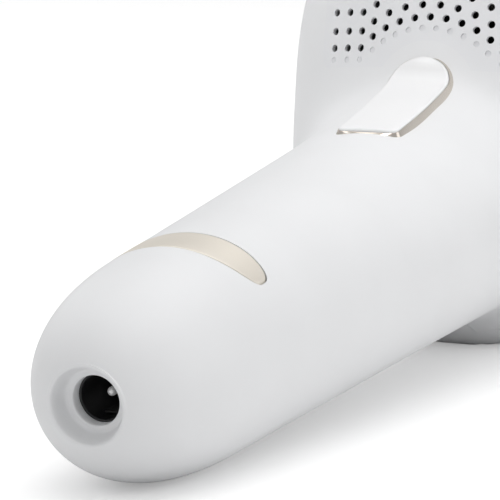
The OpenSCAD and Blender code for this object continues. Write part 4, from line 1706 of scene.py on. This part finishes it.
@dataclass(frozen=True)
class Lamp:
    """One light of the stage.

    Attributes:
        name: Name of the light.
        place: Where it stands.
        aim: What it points at.
        size: Edge of a square panel, or radius of a spot.
        power: Power in watts.
        cone: Full angle of a spot in radians, or 0 for a panel.
    """

    name: str
    place: tuple[float, float, float]
    aim: tuple[float, float, float]
    size: float
    power: float
    cone: float = 0.0

    def build(self) -> None:
        """Adds the light to the scene."""
        data = bpy.data.lights.new(self.name, "SPOT" if self.cone else "AREA")
        data.energy = self.power
        if self.cone:
            data.spot_size = self.cone
            data.spot_blend = 1.0
            data.shadow_soft_size = self.size
        else:
            data.shape = "SQUARE"
            data.size = self.size
        light = bpy.data.objects.new(self.name, data)
        light.location = self.place
        look = Vector(self.aim) - Vector(self.place)
        light.rotation_euler = look.to_track_quat("-Z", "Y").to_euler()
        bpy.context.scene.collection.objects.link(light)


@dataclass
class Stage:
    """Floor, light and camera.

    Attributes:
        target: Point that the camera looks at.
        distance: Distance from the camera to it.
        azimuth: Turn of the camera's direction from X.
        elevation: How far the camera looks down.
        lens: Focal length in mm, on a sensor 36 mm wide.
        paper: Brightness of the floor as the camera sees it.
        bounce: Brightness of the floor as the pieces see it.
        world: Strength of the white surround.
        run: How far the floor runs before it curves up.
        curl: Radius of that curve.
        lamps: The lights.
    """

    target: tuple[float, float, float] = (-37.2 * MM, 0.0, 32.05 * MM)
    distance: float = 476.3 * MM
    azimuth: float = math.radians(25.125)
    elevation: float = math.radians(8.25)
    lens: float = 201.98
    paper: float = 0.93
    bounce: float = 0.9
    world: float = 0.5
    run: float = 3.2
    curl: float = 1.2
    lamps: tuple[Lamp, ...] = (
        Lamp("overhead", (0.15, -0.1, 1.3), (0.0, 0.0, 0.0), 1.6, 10.8),
        Lamp("right_side", (0.3, -1.5, 0.55), (0.0, 0.0, 0.03), 1.2, 4.7),
        Lamp("left_back", (0.7, 1.3, 0.8), (0.0, 0.0, 0.05), 1.0, 2.2),
        Lamp("head_fill", (-0.35, 0.16, 0.46), (0.06, 0.0, 0.075), 0.12, 4.6, math.radians(24.0)),
    )

    def build(self) -> None:
        """Builds the floor, the soft lights, the world and the camera."""
        self._floor()
        for lamp in self.lamps:
            lamp.build()
        self._world()
        self._camera()

    def _floor(self) -> None:
        """Plain pale floor that curves up into a backdrop, by a quarter round."""
        a = quarter(40)[1:]
        end, top = self.run + self.curl, 3.8
        x = np.concatenate([np.linspace(-4.0, self.run, 12), self.run + self.curl * np.sin(a), [end]])
        z = np.concatenate([np.zeros(12), self.curl * (1 - np.cos(a)), [top]])
        xx, yy = np.meshgrid(x, np.linspace(-5.0, 5.0, 3), indexing="ij")
        points = np.stack([xx, yy, np.repeat(z[:, None], 3, 1)], axis=-1)
        floor = link_mesh("floor", points.reshape(-1, 3), grid_faces(len(x), 3, False))
        floor.data.shade_smooth()
        paper = Finish("floor_paper", (self.paper,) * 3, 0.85, grain_depth=0.0,
                       rough_spread=0.02, tint_spread=0.003, glow=0.3).material()
        self._dim_bounce(paper)
        floor.data.materials.append(paper)

    def _dim_bounce(self, paper: bpy.types.Material) -> None:
        """Makes the paper a little darker to every ray but the camera's own.

        Args:
            paper: The floor's material; its base colour is lessened, and its
                glow put out, where the ray does not come from the camera.
        """
        tree = paper.node_tree
        shader = tree.nodes["Principled BSDF"]
        path = tree.nodes.new("ShaderNodeLightPath")
        mix = tree.nodes.new("ShaderNodeMixRGB")
        mix.inputs["Color1"].default_value = (*(self.bounce,) * 3, 1.0)
        mix.inputs["Color2"].default_value = (*(self.paper,) * 3, 1.0)
        tree.links.new(path.outputs["Is Camera Ray"], mix.inputs["Fac"])
        tree.links.new(mix.outputs["Color"], shader.inputs["Base Color"])
        glow = tree.nodes.new("ShaderNodeMath")
        glow.operation = "MULTIPLY"
        glow.inputs[1].default_value = shader.inputs["Emission Strength"].default_value
        tree.links.new(path.outputs["Is Camera Ray"], glow.inputs[0])
        tree.links.new(glow.outputs["Value"], shader.inputs["Emission Strength"])

    def _world(self) -> None:
        """White surround, shown without any colour grading."""
        world = bpy.data.worlds.new("surround")
        world.use_nodes = True
        shade = world.node_tree.nodes["Background"]
        shade.inputs["Color"].default_value = (1.0, 1.0, 1.0, 1.0)
        shade.inputs["Strength"].default_value = self.world
        scene = bpy.context.scene
        scene.world = world
        scene.view_settings.view_transform = "Standard"
        scene.view_settings.look = "None"

    def _camera(self) -> None:
        """Long-lens camera near the handle's end, a little above it."""
        data = bpy.data.cameras.new("camera")
        data.lens = self.lens
        data.sensor_width = 36.0
        data.clip_start = 0.01
        camera = bpy.data.objects.new("camera", data)
        ce, se = math.cos(self.elevation), math.sin(self.elevation)
        look = Vector((ce * math.cos(self.azimuth), ce * math.sin(self.azimuth), -se))
        camera.location = Vector(self.target) - look * self.distance
        camera.rotation_euler = look.to_track_quat("-Z", "Y").to_euler()
        bpy.context.scene.collection.objects.link(camera)
        bpy.context.scene.camera = camera


def dress_frame_nodes() -> None:
    """Gives every CAD node that stays in view its procedural finish."""
    for name, finish in NODE_FINISHES.items():
        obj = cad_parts[name]
        obj.data.materials.clear()
        obj.data.materials.append(finish.material())
        LOG.info("node %s: %s", name, finish.name)


def main() -> None:
    """Builds every sub-assembly in order and logs each piece."""
    logging.basicConfig(level=logging.INFO, format="%(message)s")
    Stage().build()
    form = BodyForm()
    dress_frame_nodes()
    crescent, button = Crescent(form), FlashButton(form)
    Housing(form).build([crescent.pocket(), button.opening()], VentGrille(form))
    crescent.build()
    button.build()
    Inlet(form).build()
    BackControls(form).build()
    TreatmentEnd(form).build()


if __name__ == "__main__":
    main()
